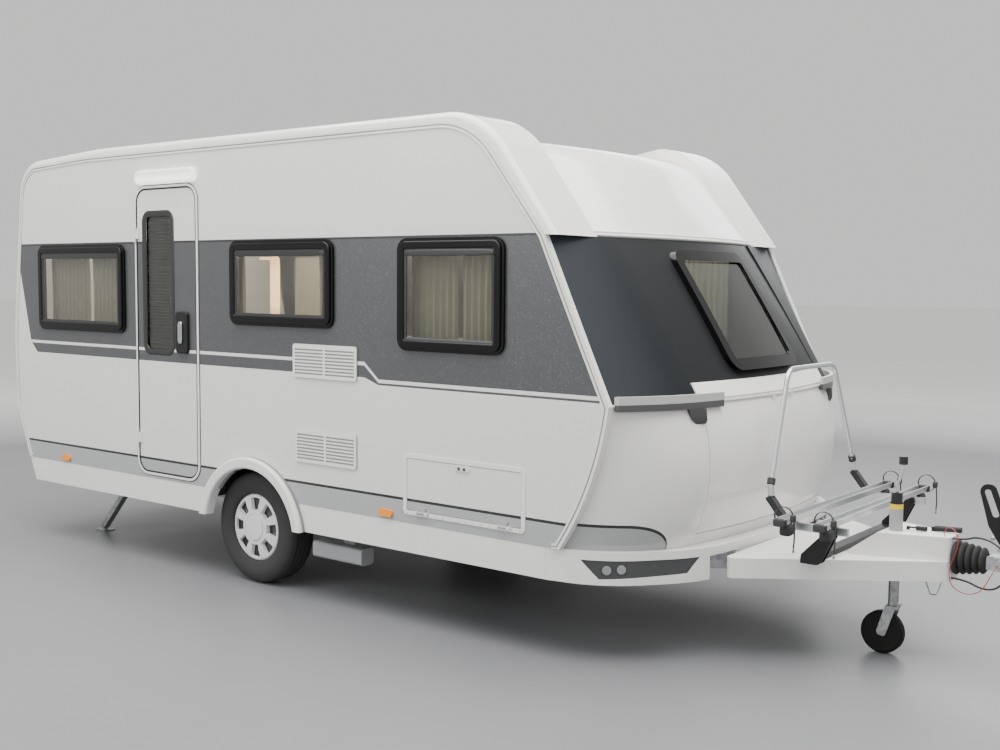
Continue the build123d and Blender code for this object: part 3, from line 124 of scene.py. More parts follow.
# Finishes: paint (a colour, the name of one in the panel, or None where an operator paints it),
# roughness, grain per metre, grain depth, tone spread, dust, height where dust ends, other inputs of
# the shader, and then the CAD nodes that wear it
FINISHES = {
    "studio_floor": (None, 0.42, 60, 0, 0.10, 0, 0.6, {}),
    "cable_rubber": ((0.014, 0.014, 0.014), 0.5, 900, 5e-5, 0.3, 0.1, 0.6, {}),
    "red_sleeve": ((0.32, 0.015, 0.012), 0.4, 900, 0, 0.2, 0.1, 0.6, {}),
    "hammered_wall": (None, 0.34, 400, 0, 0.03, 0.10, 0.6,
                      {"Coat Weight": 0.25, "Coat Roughness": 0.12},
                      "wall_left", "wall_right", "door", "service_flap"),
    "gel_coat": ("shell", 0.22, 90, 6e-5, 0.03, 0.10, 0.6, GEL,
                 "roof", "roof_hood", "rear_wall", "locker_lid"),
    "edge_moulding": (None, 0.22, 90, 6e-5, 0.03, 0.10, 0.6, GEL, "roof_edge_left", "roof_edge_right"),
    "dark_gloss": (None, 0.42, 900, 2e-5, 0.10, 0.05, 0.6,
                   {"Coat Weight": 0.02, "Coat Roughness": 0.08, "Specular IOR Level": 0.08,
                    "Metallic": 0.08}, "front_corners_upper"),
    "front_panel": (None, 0.40, 900, 2e-5, 0.06, 0.06, 0.6,
                    {"Coat Weight": 0.02, "Coat Roughness": 0.12, "Specular IOR Level": 0.10},
                    "front_wall"),
    "front_lower": (None, 0.24, 90, 6e-5, 0.03, 0.12, 0.6, GEL, "front_corners_lower"),
    "white_moulding": ("plastic", 0.34, 1400, 4e-5, 0.03, 0.20, 0.7, {},
                       "skirts", "front_bumper", "rear_bumper", "side_frames", "front_rail",
                       "drawbar_cover"),
    "vent_moulding": (None, 0.36, 1400, 4e-5, 0.03, 0.15, 1.4, {}, "vents"),
    "arch_moulding": (None, 0.34, 1400, 4e-5, 0.03, 0.22, 0.7, {}, "wheel_arches"),
    "grip_plastic": (None, 0.42, 1400, 5e-5, 0.04, 0.12, 0.6, {}, "grab_handles"),
    "sealed_board": ((0.035, 0.033, 0.03), 0.7, 300, 3e-4, 0.3, 0.5, 1.0, {}, "floor"),
    "hatch_dome": ((0.66, 0.66, 0.64), 0.25, 500, 3e-5, 0.04, 0.12, 0.6, {}, "roof_hatches"),
    "galvanised": (None, 0.42, 500, 0, 0.25, 0.35, 0.6, {"Metallic": 0.8},
                   "chassis", "drawbar", "coupling_head", "axle", "steady_rear_left",
                   "steady_rear_right", "steady_front_left", "steady_front_right", "jockey_leg",
                   "jockey_fork"),
    "silver_tube": (None, 0.30, 700, 3e-5, 0.10, 0.05, 0.6, {}, "carrier"),
    "black_plastic": ((0.009, 0.009, 0.0095), 0.45, 900, 1e-4, 0.3, 0.06, 0.6,
                      {"Specular IOR Level": 0.3}, "carrier_base", "hand_levers", "door_handle"),
    "black_rubber": ((0.008, 0.008, 0.008), 0.55, 700, 8e-5, 0.4, 0.08, 0.6,
                     {"Specular IOR Level": 0.3}, "gaiter"),
    "tyre_rubber": ((0.008, 0.008, 0.0083), 0.60, 900, 1e-4, 0.4, 0.05, 0.4,
                    {"Specular IOR Level": 0.12}, "tyre_left", "tyre_right", "jockey_wheel"),
    "wheel_trim": (None, 0.30, 900, 3e-5, 0.05, 0.18, 0.6, {"Coat Weight": 0.3},
                   "wheel_left", "wheel_right"),
    "mover_housing": ((0.40, 0.41, 0.42), 0.40, 700, 6e-5, 0.08, 0.3, 0.6, {}, "movers"),
    "jockey_tube": (None, 0.38, 500, 0, 0.12, 0.1, 0.6, {}, "jockey_tube"),
    "black_gloss": ((0.004, 0.004, 0.0045), 0.10, 60, 4e-5, 0.2, 0, 0.6,
                    {"Coat Weight": 0.06, "Coat Roughness": 0.03, "Specular IOR Level": 0.25},
                    "window_frames"),
    "lamp_cover": ((0.035, 0.037, 0.038), 0.08, 30, 2e-4, 0.3, 0.05, 0.6,
                   {"Coat Weight": 0.8, "Coat Roughness": 0.03}, "front_lamps"),
    "smoked_pane": (None, 0.03, 3, 0.0012, 0.2, 0, 0.6, {"Transmission Weight": 1.0, "IOR": 1.49},
                    "window_panes", "door_pane"),
    "amber_lens": ((0.92, 0.29, 0.0), 0.14, 20, 0, 0.1, 0.04, 0.6, {"Coat Weight": 0.4},
                   "side_markers"),
    "red_lens": ((0.50, 0.015, 0.012), 0.14, 20, 0, 0.1, 0.04, 0.6, {"Coat Weight": 0.4}, "rear_lamps"),
    "awning_lens": ((0.92, 0.92, 0.90), 0.25, 200, 0, 0.02, 0, 0.6, {"Emission Strength": 1.6},
                    "awning_light"),
    "curtain_cloth": ((0.55, 0.51, 0.42), 0.85, 900, 2e-4, 0.15, 0, 0.6, {"Sheen Weight": 0.3}),
    "lever_chrome": ((0.55, 0.56, 0.58), 0.16, 300, 0, 0.05, 0, 0.6, {"Metallic": 1.0}),
    "blind_cloth": ((0.055, 0.055, 0.052), 0.9, 900, 1e-4, 0.2, 0, 0.6, {}),
    "warm_lamp": ((0.9, 0.8, 0.6), 0.4, 100, 0, 0.02, 0, 0.6, {"Emission Strength": 3.2}),
    "strap_tip": ((0.50, 0.51, 0.52), 0.3, 400, 0, 0.1, 0.1, 0.6, {"Metallic": 1.0}),
    "lamp_dome": ((0.36, 0.37, 0.38), 0.10, 20, 0, 0.3, 0.05, 0.6,
                  {"Coat Weight": 1.0, "Coat Roughness": 0.03, "Metallic": 0.6}),
    "grip_block": ((0.05, 0.05, 0.052), 0.4, 1400, 5e-5, 0.04, 0.12, 0.6, {}),
    "blank_plate": ((0.70, 0.70, 0.68), 0.35, 800, 3e-5, 0.04, 0.12, 0.6, {}),
}


# Meshes
def grid_faces(rows, cols, close_rows, close_cols, start):
    """Quads between neighbouring rows and columns of a grid; a closed direction joins last to first."""
    i, j = np.meshgrid(np.arange(rows if close_rows else rows - 1),
                       np.arange(cols if close_cols else cols - 1), indexing="ij")
    next_i, next_j = (i + 1) % rows, (j + 1) % cols
    quads = np.stack([i * cols + j, next_i * cols + j, next_i * cols + next_j, i * cols + next_j], -1)
    return start + quads.reshape(-1, 4)


def make_piece(name, patches, body, finish, sharp=35.0, closed=True):
    """Joins grids of points into one mesh. Each patch is (points, close_rows, close_cols), with x
    counted from the axle for a piece of the caravan and from the row frame for one of the studio."""
    points, faces, start = [], [], 0
    for grid, close_rows, close_cols in patches:
        rows, cols, _ = grid.shape
        points.append(grid.reshape(-1, 3))
        faces.append(grid_faces(rows, cols, close_rows, close_cols, start))
        start += rows * cols
    points, faces = np.concatenate(points), np.concatenate(faces)
    mesh = bpy.data.meshes.new(name)
    mesh.from_pydata((from_axle(points) if body else points).tolist(), [], faces.tolist())
    work = bmesh.new()
    work.from_mesh(mesh)
    bmesh.ops.remove_doubles(work, verts=work.verts, dist=1e-6)
    bmesh.ops.dissolve_degenerate(work, edges=work.edges, dist=1e-7)
    if closed:
        bmesh.ops.recalc_face_normals(work, faces=work.faces)
    work.to_mesh(mesh)
    work.free()
    mesh.shade_smooth()
    mesh.set_sharp_from_angle(angle=math.radians(sharp))
    mesh.materials.append(bpy.data.materials[finish])
    piece = bpy.data.objects.new(name, mesh)
    bpy.context.scene.collection.objects.link(piece)
    if body is None:
        return piece
    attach(piece, body)
    return piece


def rounded_outline(x_from, x_to, z_from, z_to, radius, per_corner=8):
    """A rectangle with round corners, as points and outward directions in a plane: each corner is a
    quarter circle from one side's direction to the next."""
    angle = np.linspace(0, math.pi / 2, per_corner)
    corners = ((x_to - radius, z_to - radius, 0), (x_from + radius, z_to - radius, 1),
               (x_from + radius, z_from + radius, 2), (x_to - radius, z_from + radius, 3))
    centre = np.repeat([[x, z] for x, z, _ in corners], per_corner, axis=0)
    turn = np.concatenate([angle + quarter * math.pi / 2 for _, _, quarter in corners])
    out = np.stack([np.cos(turn), np.sin(turn)], -1)
    return centre + radius * out, out


def side_moulding(outline, profile, side):
    """Carries a profile (outward, proud of the wall) round an outline in the side wall's plane."""
    path, out = outline
    profile = np.asarray(profile)
    in_plane = path[:, None] + profile[None, :, :1] * out[:, None]
    y = np.broadcast_to(side * (HALF + profile[:, 1]), in_plane.shape[:2])
    return np.stack([in_plane[..., 0], y, in_plane[..., 1]], -1)


def revolved(profile, centre, axis, steps):
    """Turns a profile (along the axis, radius) about a line through centre."""
    profile = np.asarray(profile, float)
    axis = np.asarray(axis, float) / np.linalg.norm(axis)
    side = np.cross(axis, (0.0, 0.0, 1.0) if abs(axis[2]) < 0.9 else (1.0, 0.0, 0.0))
    side /= np.linalg.norm(side)
    up = np.cross(axis, side)
    turn = np.linspace(0, 2 * math.pi, steps, endpoint=False)[:, None, None]
    spoke = np.cos(turn) * side + np.sin(turn) * up
    return np.asarray(centre) + profile[None, :, :1] * axis + profile[None, :, 1:] * spoke


def capped(grid):
    """Closes both ends of a row of loops, each at the mean of its end loop."""
    ends = grid[[0, -1]].mean(1, keepdims=True).repeat(grid.shape[1], 1)
    return np.concatenate([ends[:1], grid, ends[1:]])


def carried(path, profile, reference, closed=False):
    """Carries a closed profile along a path. At each place the profile's second direction is the
    reference made square to the path, and its first is square to both."""
    path, profile = np.asarray(path, float), np.asarray(profile, float)
    along = np.roll(path, -1, 0) - np.roll(path, 1, 0) if closed else np.gradient(path, axis=0)
    along /= np.linalg.norm(along, axis=1, keepdims=True)
    reference = np.asarray(reference, float)
    second = reference - along * (along @ reference)[:, None]
    second /= np.linalg.norm(second, axis=1, keepdims=True)
    first = np.cross(second, along)
    grid = (path[:, None] + profile[None, :, :1] * first[:, None]
            + profile[None, :, 1:] * second[:, None])
    return grid if closed else capped(grid)


def strap_profile(thick, width):
    """Section of a flat strap: a thin rectangle with its corners taken off."""
    t, w, c = thick / 2, width / 2, thick / 4
    return [(t, -w + c), (t, w - c), (t - c, w), (-t + c, w), (-t, w - c), (-t, -w + c), (-t + c, -w),
            (t - c, -w)]


def mirrored(patches):
    """The patches and their mirror images on the other side."""
    return [*patches, *((grid * (1, -1, 1), rows, cols) for grid, rows, cols in patches)]


def disc(centre, axis, radius, proud, sunk=0.002, steps=20):
    """A low round button: a short side with a rounded edge and a nearly flat top."""
    profile = [(-sunk, 0.0), (-sunk, radius), (0.6 * proud, radius), (0.9 * proud, 0.86 * radius),
               (proud, 0.6 * radius), (proud, 0.0)]
    return revolved(profile, centre, axis, steps), True, False


def pillow(low, high, roundness=4.0, rows=10, cols=20):
    """A box with swollen, rounded faces: each axis is a cosine or sine raised to 2 / roundness."""
    low, high = np.asarray(low, float), np.asarray(high, float)
    rise = np.linspace(-math.pi / 2, math.pi / 2, rows)[:, None]
    turn = np.linspace(0, 2 * math.pi, cols, endpoint=False)[None, :]

    def bent(value):
        return np.sign(value) * np.abs(value) ** (2 / roundness)

    x = bent(np.cos(rise)) * bent(np.cos(turn))
    y = bent(np.cos(rise)) * bent(np.sin(turn))
    z = bent(np.sin(rise)) * np.ones_like(turn)
    unit = np.stack([x, y, z], -1)
    return (low + high) / 2 + unit * (high - low) / 2


def from_axle(points):
    """Moves points whose x is counted from the axle into the row frame."""
    return np.asarray(points, float) + (AXLE_X, 0.0, 0.0)


# Finishes
def opaque(colour):
    """A colour of three numbers with full alpha; a socket is passed on."""
    return colour if isinstance(colour, bpy.types.NodeSocket) else (*colour[:3], 1.0)


def feed(tree, socket, value):
    """Links a socket or a field to an input, or sets the input to a plain value."""
    value = getattr(value, "socket", value)
    if isinstance(value, bpy.types.NodeSocket):
        tree.links.new(value, socket)
    else:
        socket.default_value = value


def add_node(tree, kind, inputs=None, **settings):
    """A new node with its settings, and with its inputs fed by name or number."""
    node = tree.nodes.new(kind)
    for key, value in settings.items():
        setattr(node, key, value)
    for key, value in (inputs or {}).items():
        feed(tree, node.inputs[key], value)
    return node


def mix_colours(tree, share, first, second, blend="MIX"):
    return add_node(tree, "ShaderNodeMix", {"Factor": share, 6: opaque(first), 7: opaque(second)},
                    data_type="RGBA", blend_type=blend).outputs[2]


def new_group(name, inputs, outputs):
    """A node group with named sockets: an input is (name, kind, default), an output (name, kind)."""
    group = bpy.data.node_groups.new(name, "ShaderNodeTree")
    for title, kind, default in inputs:
        socket = group.interface.new_socket(title, in_out="INPUT", socket_type=kind)
        if default is not None:
            socket.default_value = default
    for title, kind in outputs:
        group.interface.new_socket(title, in_out="OUTPUT", socket_type=kind)
    return group, group.nodes.new("NodeGroupInput").outputs, group.nodes.new("NodeGroupOutput").inputs


def noise(tree, place, scale, detail):
    """Soft noise from 0 to 1."""
    return Field(tree, add_node(tree, "ShaderNodeTexNoise", {
        "Vector": place, "Scale": scale, "Detail": detail}).outputs[0])


def hammered_group():
    """Embossed sheet: domed cells of a cell pattern for height, and a few bright cells as glints."""
    group, given, result = new_group(
        "Hammered Sheet",
        [("Position", "NodeSocketVector", None), ("Cells Per Metre", "NodeSocketFloat", 160.0)],
        [("Height", "NodeSocketFloat"), ("Glint", "NodeSocketFloat")])
    cells = add_node(group, "ShaderNodeTexVoronoi", {"Vector": given[0], "Scale": given[1]},
                     feature="SMOOTH_F1")
    cells.inputs["Smoothness"].default_value = 0.4
    feed(group, result[0], noise(group, given[0], 60.0, 3.0) * 0.8 + cells.outputs["Distance"])
    bright = add_node(group, "ShaderNodeTexVoronoi", {"Vector": given[0], "Scale": given[1]})
    share = add_node(group, "ShaderNodeSeparateColor", {0: bright.outputs["Color"]}).outputs[0]
    feed(group, result[1], Field(group, share).math("POWER", share, 22.0))
    return group


def skin_group():
    """A painted or moulded skin: slow changes of tone, fine grain, and road dust that thins upwards."""
    group, given, result = new_group(
        "Weathered Skin",
        [("Position", "NodeSocketVector", None), ("Paint", "NodeSocketColor", (0.8, 0.8, 0.8, 1)),
         ("Dust", "NodeSocketColor", (0.28, 0.26, 0.23, 1)), ("Dust Top", "NodeSocketFloat", 0.6),
         ("Dust Amount", "NodeSocketFloat", 0.12), ("Tone Spread", "NodeSocketFloat", 0.04),
         ("Base Roughness", "NodeSocketFloat", 0.3), ("Grain Per Metre", "NodeSocketFloat", 400.0)],
        [("Color", "NodeSocketColor"), ("Roughness", "NodeSocketFloat"), ("Grain", "NodeSocketFloat")])
    place = given["Position"]
    swing = noise(group, place, 2.2, 4.0) - 0.5
    tone = swing * given["Tone Spread"] + 1.0
    grey = add_node(group, "ShaderNodeCombineColor", {0: tone, 1: tone, 2: tone})
    toned = mix_colours(group, 1.0, given["Paint"], grey.outputs[0], "MULTIPLY")
    height = Field(group, add_node(group, "ShaderNodeSeparateXYZ", {0: place}).outputs[2])
    patchy = height.ramp(given["Dust Top"], 0.0) * noise(group, place, 14.0, 6.0)
    mask = patchy.math("MULTIPLY", patchy, given["Dust Amount"], clamp=True)
    rough = swing * 0.12 + given["Base Roughness"]
    feed(group, result["Color"], mix_colours(group, mask, toned, given["Dust"]))
    feed(group, result["Roughness"], mask.math("MULTIPLY_ADD", mask, 0.5, rough, clamp=True))
    feed(group, result["Grain"], noise(group, place, given["Grain Per Metre"], 2.0))
    return group


GROUPS = {}


def shared_group(name):
    """The node group of that name, built when it is first asked for."""
    if name not in GROUPS:
        GROUPS[name] = {"hammered": hammered_group, "skin": skin_group}[name]()
    return GROUPS[name]


class Field:
    """A number that changes over the surface. Each operation on it adds a node to its tree, and a
    comparison gives 1 where it is true and 0 elsewhere."""

    def __init__(self, tree, socket):
        self.tree, self.socket = tree, socket

    def math(self, operation, *values, clamp=False):
        return Field(self.tree, add_node(self.tree, "ShaderNodeMath", dict(enumerate(values)),
                                         operation=operation, use_clamp=clamp).outputs[0])

    def __abs__(self):
        return self.math("ABSOLUTE", self)

    def __add__(self, other):
        return self.math("ADD", self, other)

    def __sub__(self, other):
        return self.math("SUBTRACT", self, other)

    def __rsub__(self, other):
        return self.math("SUBTRACT", other, self)

    def __mul__(self, other):
        return self.math("MULTIPLY", self, other)

    def __truediv__(self, other):
        return self.math("DIVIDE", self, other)

    def __gt__(self, other):
        return self.math("GREATER_THAN", self, other)

    def __lt__(self, other):
        return self.math("LESS_THAN", self, other)

    def at_least(self, low):
        return self.math("MAXIMUM", self, low)

    def root(self):
        return self.math("SQRT", self)

    def between(self, low, high):
        return (self > low) * (self < high)

    def ramp(self, from_low, from_high, to_low=0.0, to_high=1.0):
        """A straight change from one value to the other between two places, level outside them."""
        return Field(self.tree, add_node(self.tree, "ShaderNodeMapRange", {
            0: self, 1: from_low, 2: from_high, 3: to_low, 4: to_high}).outputs[0])


class Finish:
    """A procedural material on Object coordinates, with the weathered skin as its base. Its numbers
    stand in FINISHES, and the CAD nodes named there are dressed in it."""

    def __init__(self, name):
        paint, roughness, grain, grain_depth, tone, dust, dust_top, others, *nodes = FINISHES[name]
        self.material = bpy.data.materials.new(name)
        self.material.use_nodes = True
        self.tree = self.material.node_tree
        self.tree.nodes.clear()
        self.shader = self.add("ShaderNodeBsdfPrincipled")
        self.add("ShaderNodeOutputMaterial", {0: self.shader.outputs[0]})
        self.place = self.add("ShaderNodeTexCoord").outputs["Object"]
        split = self.add("ShaderNodeSeparateXYZ", {0: self.place})
        self.x, self.y, self.z = (Field(self.tree, socket) for socket in split.outputs)
        self.skin = self.add("ShaderNodeGroup", {
            "Position": self.place, "Base Roughness": roughness, "Grain Per Metre": grain,
            "Tone Spread": tone, "Dust Amount": dust, "Dust Top": dust_top},
            node_tree=shared_group("skin"))
        if paint:
            colours = bpy.context.scene.caravan_colours
            self.paint(getattr(colours, paint) if isinstance(paint, str) else paint)
        self.feed("Base Color", self.skin.outputs["Color"])
        self.feed("Roughness", self.skin.outputs["Roughness"])
        for title, value in others.items():
            self.feed(title, value)
        if grain_depth:
            self.bump(self.skin.outputs["Grain"], grain_depth)
        for node in nodes:
            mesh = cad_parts[node].data
            mesh.materials.clear()
            mesh.materials.append(self.material)

    def add(self, kind, inputs=None, **settings):
        return add_node(self.tree, kind, inputs, **settings)

    def feed(self, title, value):
        feed(self.tree, self.shader.inputs[title], value)

    def paint(self, colour):
        feed(self.tree, self.skin.inputs["Paint"], opaque(colour))

    def bump(self, height, distance, strength=1.0):
        """Raises the surface by a height, on top of what is raised already."""
        node = self.add("ShaderNodeBump",
                        {"Height": height, "Distance": distance, "Strength": strength})
        earlier = self.shader.inputs["Normal"].links
        if earlier:
            feed(self.tree, node.inputs["Normal"], earlier[0].from_socket)
        self.feed("Normal", node.outputs[0])

    def mix(self, share, first, second):
        return mix_colours(self.tree, share, first, second)


class CaravanColours(bpy.types.PropertyGroup):
    def colour(name, description, default):
        return FloatVectorProperty(name=name, description=description, default=default, size=3,
                                   subtype="COLOR", min=0.0, max=1.0)

    wall: colour("Wall", "Off-white of the hammered side walls", (0.72, 0.72, 0.705))
    shell: colour("Shell", "Off-white of roof, front and rear shells", (0.80, 0.79, 0.77))
    plastic: colour("Mouldings", "White of the moulded plastic pieces", (0.78, 0.775, 0.76))
    band: colour("Window Band", "Dark band at window height", (0.058, 0.060, 0.064))
    low_band: colour("Low Band", "Grey band above the skirt", (0.36, 0.365, 0.37))
    front: colour("Front Corners", "Dark gloss of the upper front", (0.016, 0.018, 0.020))


class CaravanLivery(bpy.types.PropertyGroup):
    def height(name, description, default):
        return FloatProperty(name=name, description=description, default=default, unit="LENGTH")

    band_top: height("Band Top", "Upper edge of the dark band", 1.943)
    band_low_rear: height("Band Low Rear", "Lower edge of the dark band behind the vent", 1.230)
    band_low_front: height("Band Low Front", "Lower edge of the dark band ahead of the vent", 1.196)
    stripe_rear: height("Stripe Rear", "White stripe behind the vent", 1.300)
    stripe_front: height("Stripe Front", "White stripe ahead of the vent", 1.216)
    line: height("Line", "Black line over the low grey band", 0.637)


class CaravanStudio(bpy.types.PropertyGroup):
    lens: FloatProperty(name="Lens", description="Camera lens", default=43.04, unit="CAMERA")
    floor: FloatVectorProperty(name="Floor", description="Studio floor", default=(0.185, 0.187, 0.196),
                               size=3, subtype="COLOR")
    wall: FloatVectorProperty(name="Surround", description="Studio surround",
                              default=(0.80, 0.80, 0.79), size=3, subtype="COLOR")
    power: FloatProperty(name="Ceiling Power", description="Power of the ceiling light", default=1900.0,
                         unit="POWER")


def add_light(name, kind, place, power, tint):
    light = bpy.data.lights.new(name, kind)
    light.energy, light.color = power, tint
    holder = bpy.data.objects.new(name, light)
    holder.location = place
    bpy.context.scene.collection.objects.link(holder)
    return light, holder


class CARAVAN_OT_stage(bpy.types.Operator):
    """Camera at the photograph's angle, pale floor, soft studio lights and lights in the cabin"""
    bl_idname = "caravan.stage"
    bl_label = "Studio"

    def execute(self, context):
        """The floor is a disc that turns pale with the root of x squared plus y squared."""
        studio = context.scene.caravan_studio
        camera = bpy.data.objects.new("camera", bpy.data.cameras.new("camera"))
        camera.data.lens = studio.lens
        camera.data.sensor_width = SENSOR_WIDTH
        yaw, pitch, roll = (math.radians(value) for value in CAMERA_TURN)
        ahead = Vector((-math.sin(yaw) * math.cos(pitch), math.cos(yaw) * math.cos(pitch),
                        math.sin(pitch)))
        across = ahead.cross(Vector((0, 0, 1))).normalized()
        upright = across.cross(ahead)
        right = across * math.cos(roll) + upright * math.sin(roll)
        top = upright * math.cos(roll) - across * math.sin(roll)
        basis = Matrix((right, top, -ahead)).transposed().to_4x4()
        camera.matrix_world = Matrix.Translation(CAMERA_PLACE) @ basis
        context.scene.collection.objects.link(camera)
        context.scene.camera = camera

        world = bpy.data.worlds.new("surround")
        world.use_nodes = True
        background = world.node_tree.nodes["Background"].inputs
        background["Color"].default_value = opaque(studio.wall)
        background["Strength"].default_value = 1.0
        context.scene.world = world

        rings = np.array([0.0, 3.0, 6.0, 10.0, 18.0, 40.0, 90.0])[:, None]
        turn = np.linspace(0, 2 * math.pi, 96, endpoint=False)[None, :]
        depth = -0.001 + 0 * rings * turn
        ground = np.stack([rings * np.cos(turn), rings * np.sin(turn), depth], -1)
        finish = Finish("studio_floor")
        reach = (finish.x * finish.x + finish.y * finish.y).root()
        finish.paint(finish.mix(reach.ramp(7.0, 12.0), studio.floor, (0.88, 0.88, 0.87)))
        make_piece("studio_floor", [(ground, False, True)], None, "studio_floor", closed=False)

        for name, place, aim, size, power, tint in STUDIO_LIGHTS:
            light, holder = add_light(name, "AREA", place, power or studio.power, tint)
            light.shape = "RECTANGLE"
            light.size, light.size_y = size
            holder.rotation_euler = (Vector(aim) - Vector(place)).to_track_quat("-Z", "Y").to_euler()
        for name, place, power, tint in CABIN_LIGHTS:
            light, _ = add_light(name, "POINT", place, power, tint)
            light.shadow_soft_size = 0.25
        return {"FINISHED"}


def livery(finish, colours, marks):
    """Paint of the side walls by height and length: white, a dark band with its stripe and a slanted,
    hooked rear end, and a low grey band. Band and stripe drop a little at the vent."""
    x, z = finish.x - AXLE_X, finish.z
    vent = (0.93, 1.03)
    # The rear end's x runs from the band's top to the hook, and on through the hook to its foot
    low_edge = x.ramp(*vent, marks.band_low_rear, marks.band_low_front)
    stripe = x.ramp(*vent, marks.stripe_rear, marks.stripe_front)
    slant = z.ramp(1.912, 1.30, -2.326, -2.175)
    hook = z.ramp(1.30, 1.229, 0.0, 0.075)
    ahead = x > slant + hook
    in_band = (z > low_edge) * (z < marks.band_top) * ahead
    edge = z.between(marks.band_top - 0.012, marks.band_top) * ahead
    in_stripe = (abs(z - stripe) < 0.009) * ahead
    paint = finish.mix(in_band, colours.wall, colours.band)
    paint = finish.mix(edge, paint, (0.012, 0.012, 0.013))
    paint = finish.mix(in_stripe, paint, colours.wall)
    paint = finish.mix(z < marks.line, paint, colours.low_band)
    paint = finish.mix(z.between(marks.line - LINE_HALF, marks.line + LINE_HALF), paint, LINE_BLACK)
    finish.paint(paint)


class CARAVAN_OT_cables(bpy.types.Operator):
    """Trailer cable and breakaway cable, hanging free at the front of the drawbar"""
    bl_idname = "caravan.cables"
    bl_label = "Cables"

    def execute(self, context):
        for name, diameter, length, finish, slot, route in CABLES:
            points = from_axle(np.asarray(route) / 1000)
            curve = bpy.data.curves.new(f"free_{name}", "CURVE")
            curve.dimensions = "3D"
            curve.resolution_u = 8
            curve.bevel_depth = diameter / 2
            curve.bevel_resolution = 3
            curve.use_fill_caps = True
            spline = curve.splines.new("NURBS")
            spline.points.add(len(points) - 1)
            spline.points.foreach_set("co", np.c_[points, np.ones(len(points))].ravel())
            spline.order_u = 3
            spline.use_endpoint_u = True
            curve.materials.append(Finish(finish).material)
            cable = bpy.data.objects.new(f"free_{name}", curve)
            context.scene.collection.objects.link(cable)
            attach(cable, "caravan")
            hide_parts(name)
        return {"FINISHED"}


class CARAVAN_OT_body_finishes(bpy.types.Operator):
    """Paint and grain of walls, roof, front, rear and mouldings"""
    bl_idname = "caravan.body_finishes"
    bl_label = "Body Finishes"

    def execute(self, context):
        colours, marks = context.scene.caravan_colours, context.scene.caravan_livery
        wall = Finish("hammered_wall")
        livery(wall, colours, marks)
        sheet = wall.add("ShaderNodeGroup", {"Position": wall.place, "Cells Per Metre": 330.0},
                         node_tree=shared_group("hammered"))
        wall.bump(sheet.outputs["Height"], 0.0006, 0.6)
        glint = Field(wall.tree, sheet.outputs["Glint"])
        wall.feed("Roughness", glint * -0.28 + wall.skin.outputs["Roughness"])
        # Painted glints: a few cells of the sheet are mixed towards a light grey in the base colour
        wall.feed("Base Color", wall.mix(glint * 0.17, wall.skin.outputs["Color"], (0.9, 0.9, 0.9)))

        # Seams of the roof-edge mouldings, and painted shade in their side groove
        edge = Finish("edge_moulding")
        seam = edge.x.between(AXLE_X + 1.0955, AXLE_X + 1.0970)
        seam = seam + edge.x.between(AXLE_X - 0.3330, AXLE_X - 0.3315)
        side = abs(edge.y)
        groove = (side > HALF + 0.0002) * (1.0 - (side > HALF + 0.0028))
        paint = edge.mix(groove, colours.shell, (0.30, 0.30, 0.29))
        edge.paint(edge.mix(seam * (edge.z > 2.3), paint, (0.10, 0.10, 0.10)))

        dark = Finish("dark_gloss")
        # Painted highlight: the dark front corners turn lighter towards the side trim
        dark.paint(dark.mix(abs(dark.y).ramp(0.80, 1.10), colours.front, (0.036, 0.040, 0.046)))
        panel, dark_foot = Finish("front_panel"), 1.2685
        panel.paint(panel.mix(panel.z > dark_foot, colours.shell, (0.015, 0.016, 0.017)))

        # The low band's end on the front corners is a quarter of an ellipse
        lower = Finish("front_lower")
        inward = ((1.02 - abs(lower.y)) / 0.19).at_least(0.0)
        round_off = (1.0 - inward * inward).at_least(0.0).root()
        line = round_off * (marks.line - 0.50) + 0.50
        paint = lower.mix(lower.z < line, colours.shell, colours.low_band)
        lower.paint(lower.mix(abs(lower.z - line) < LINE_HALF, paint, LINE_BLACK))

        slatted = Finish("vent_moulding")
        # Painted shade: the recessed slots between the vent's ribs, close to the wall, are grey
        slatted.paint(slatted.mix(abs(slatted.y) < HALF + 0.0075, colours.plastic, (0.33, 0.33, 0.32)))
        # Rubber edge of the wheel arches, outside a circle and close to the wall
        arch = Finish("arch_moulding")
        centre_x, centre_z, rubber_radius = AXLE_X + 0.055, 0.300, 0.4325
        off_x, off_z = arch.x - centre_x, arch.z - centre_z
        reach = (off_x * off_x + off_z * off_z).root()
        rubber_edge = (reach > rubber_radius) * (abs(arch.y) < HALF + 0.018)
        arch.paint(arch.mix(rubber_edge, colours.plastic, (0.22, 0.22, 0.22)))
        grip = Finish("grip_plastic")
        grip.paint(grip.mix(grip.z < 1.19, (0.46, 0.46, 0.45), (0.07, 0.07, 0.072)))
        for name in ("gel_coat", "white_moulding", "sealed_board", "hatch_dome"):
            Finish(name)
        return {"FINISHED"}


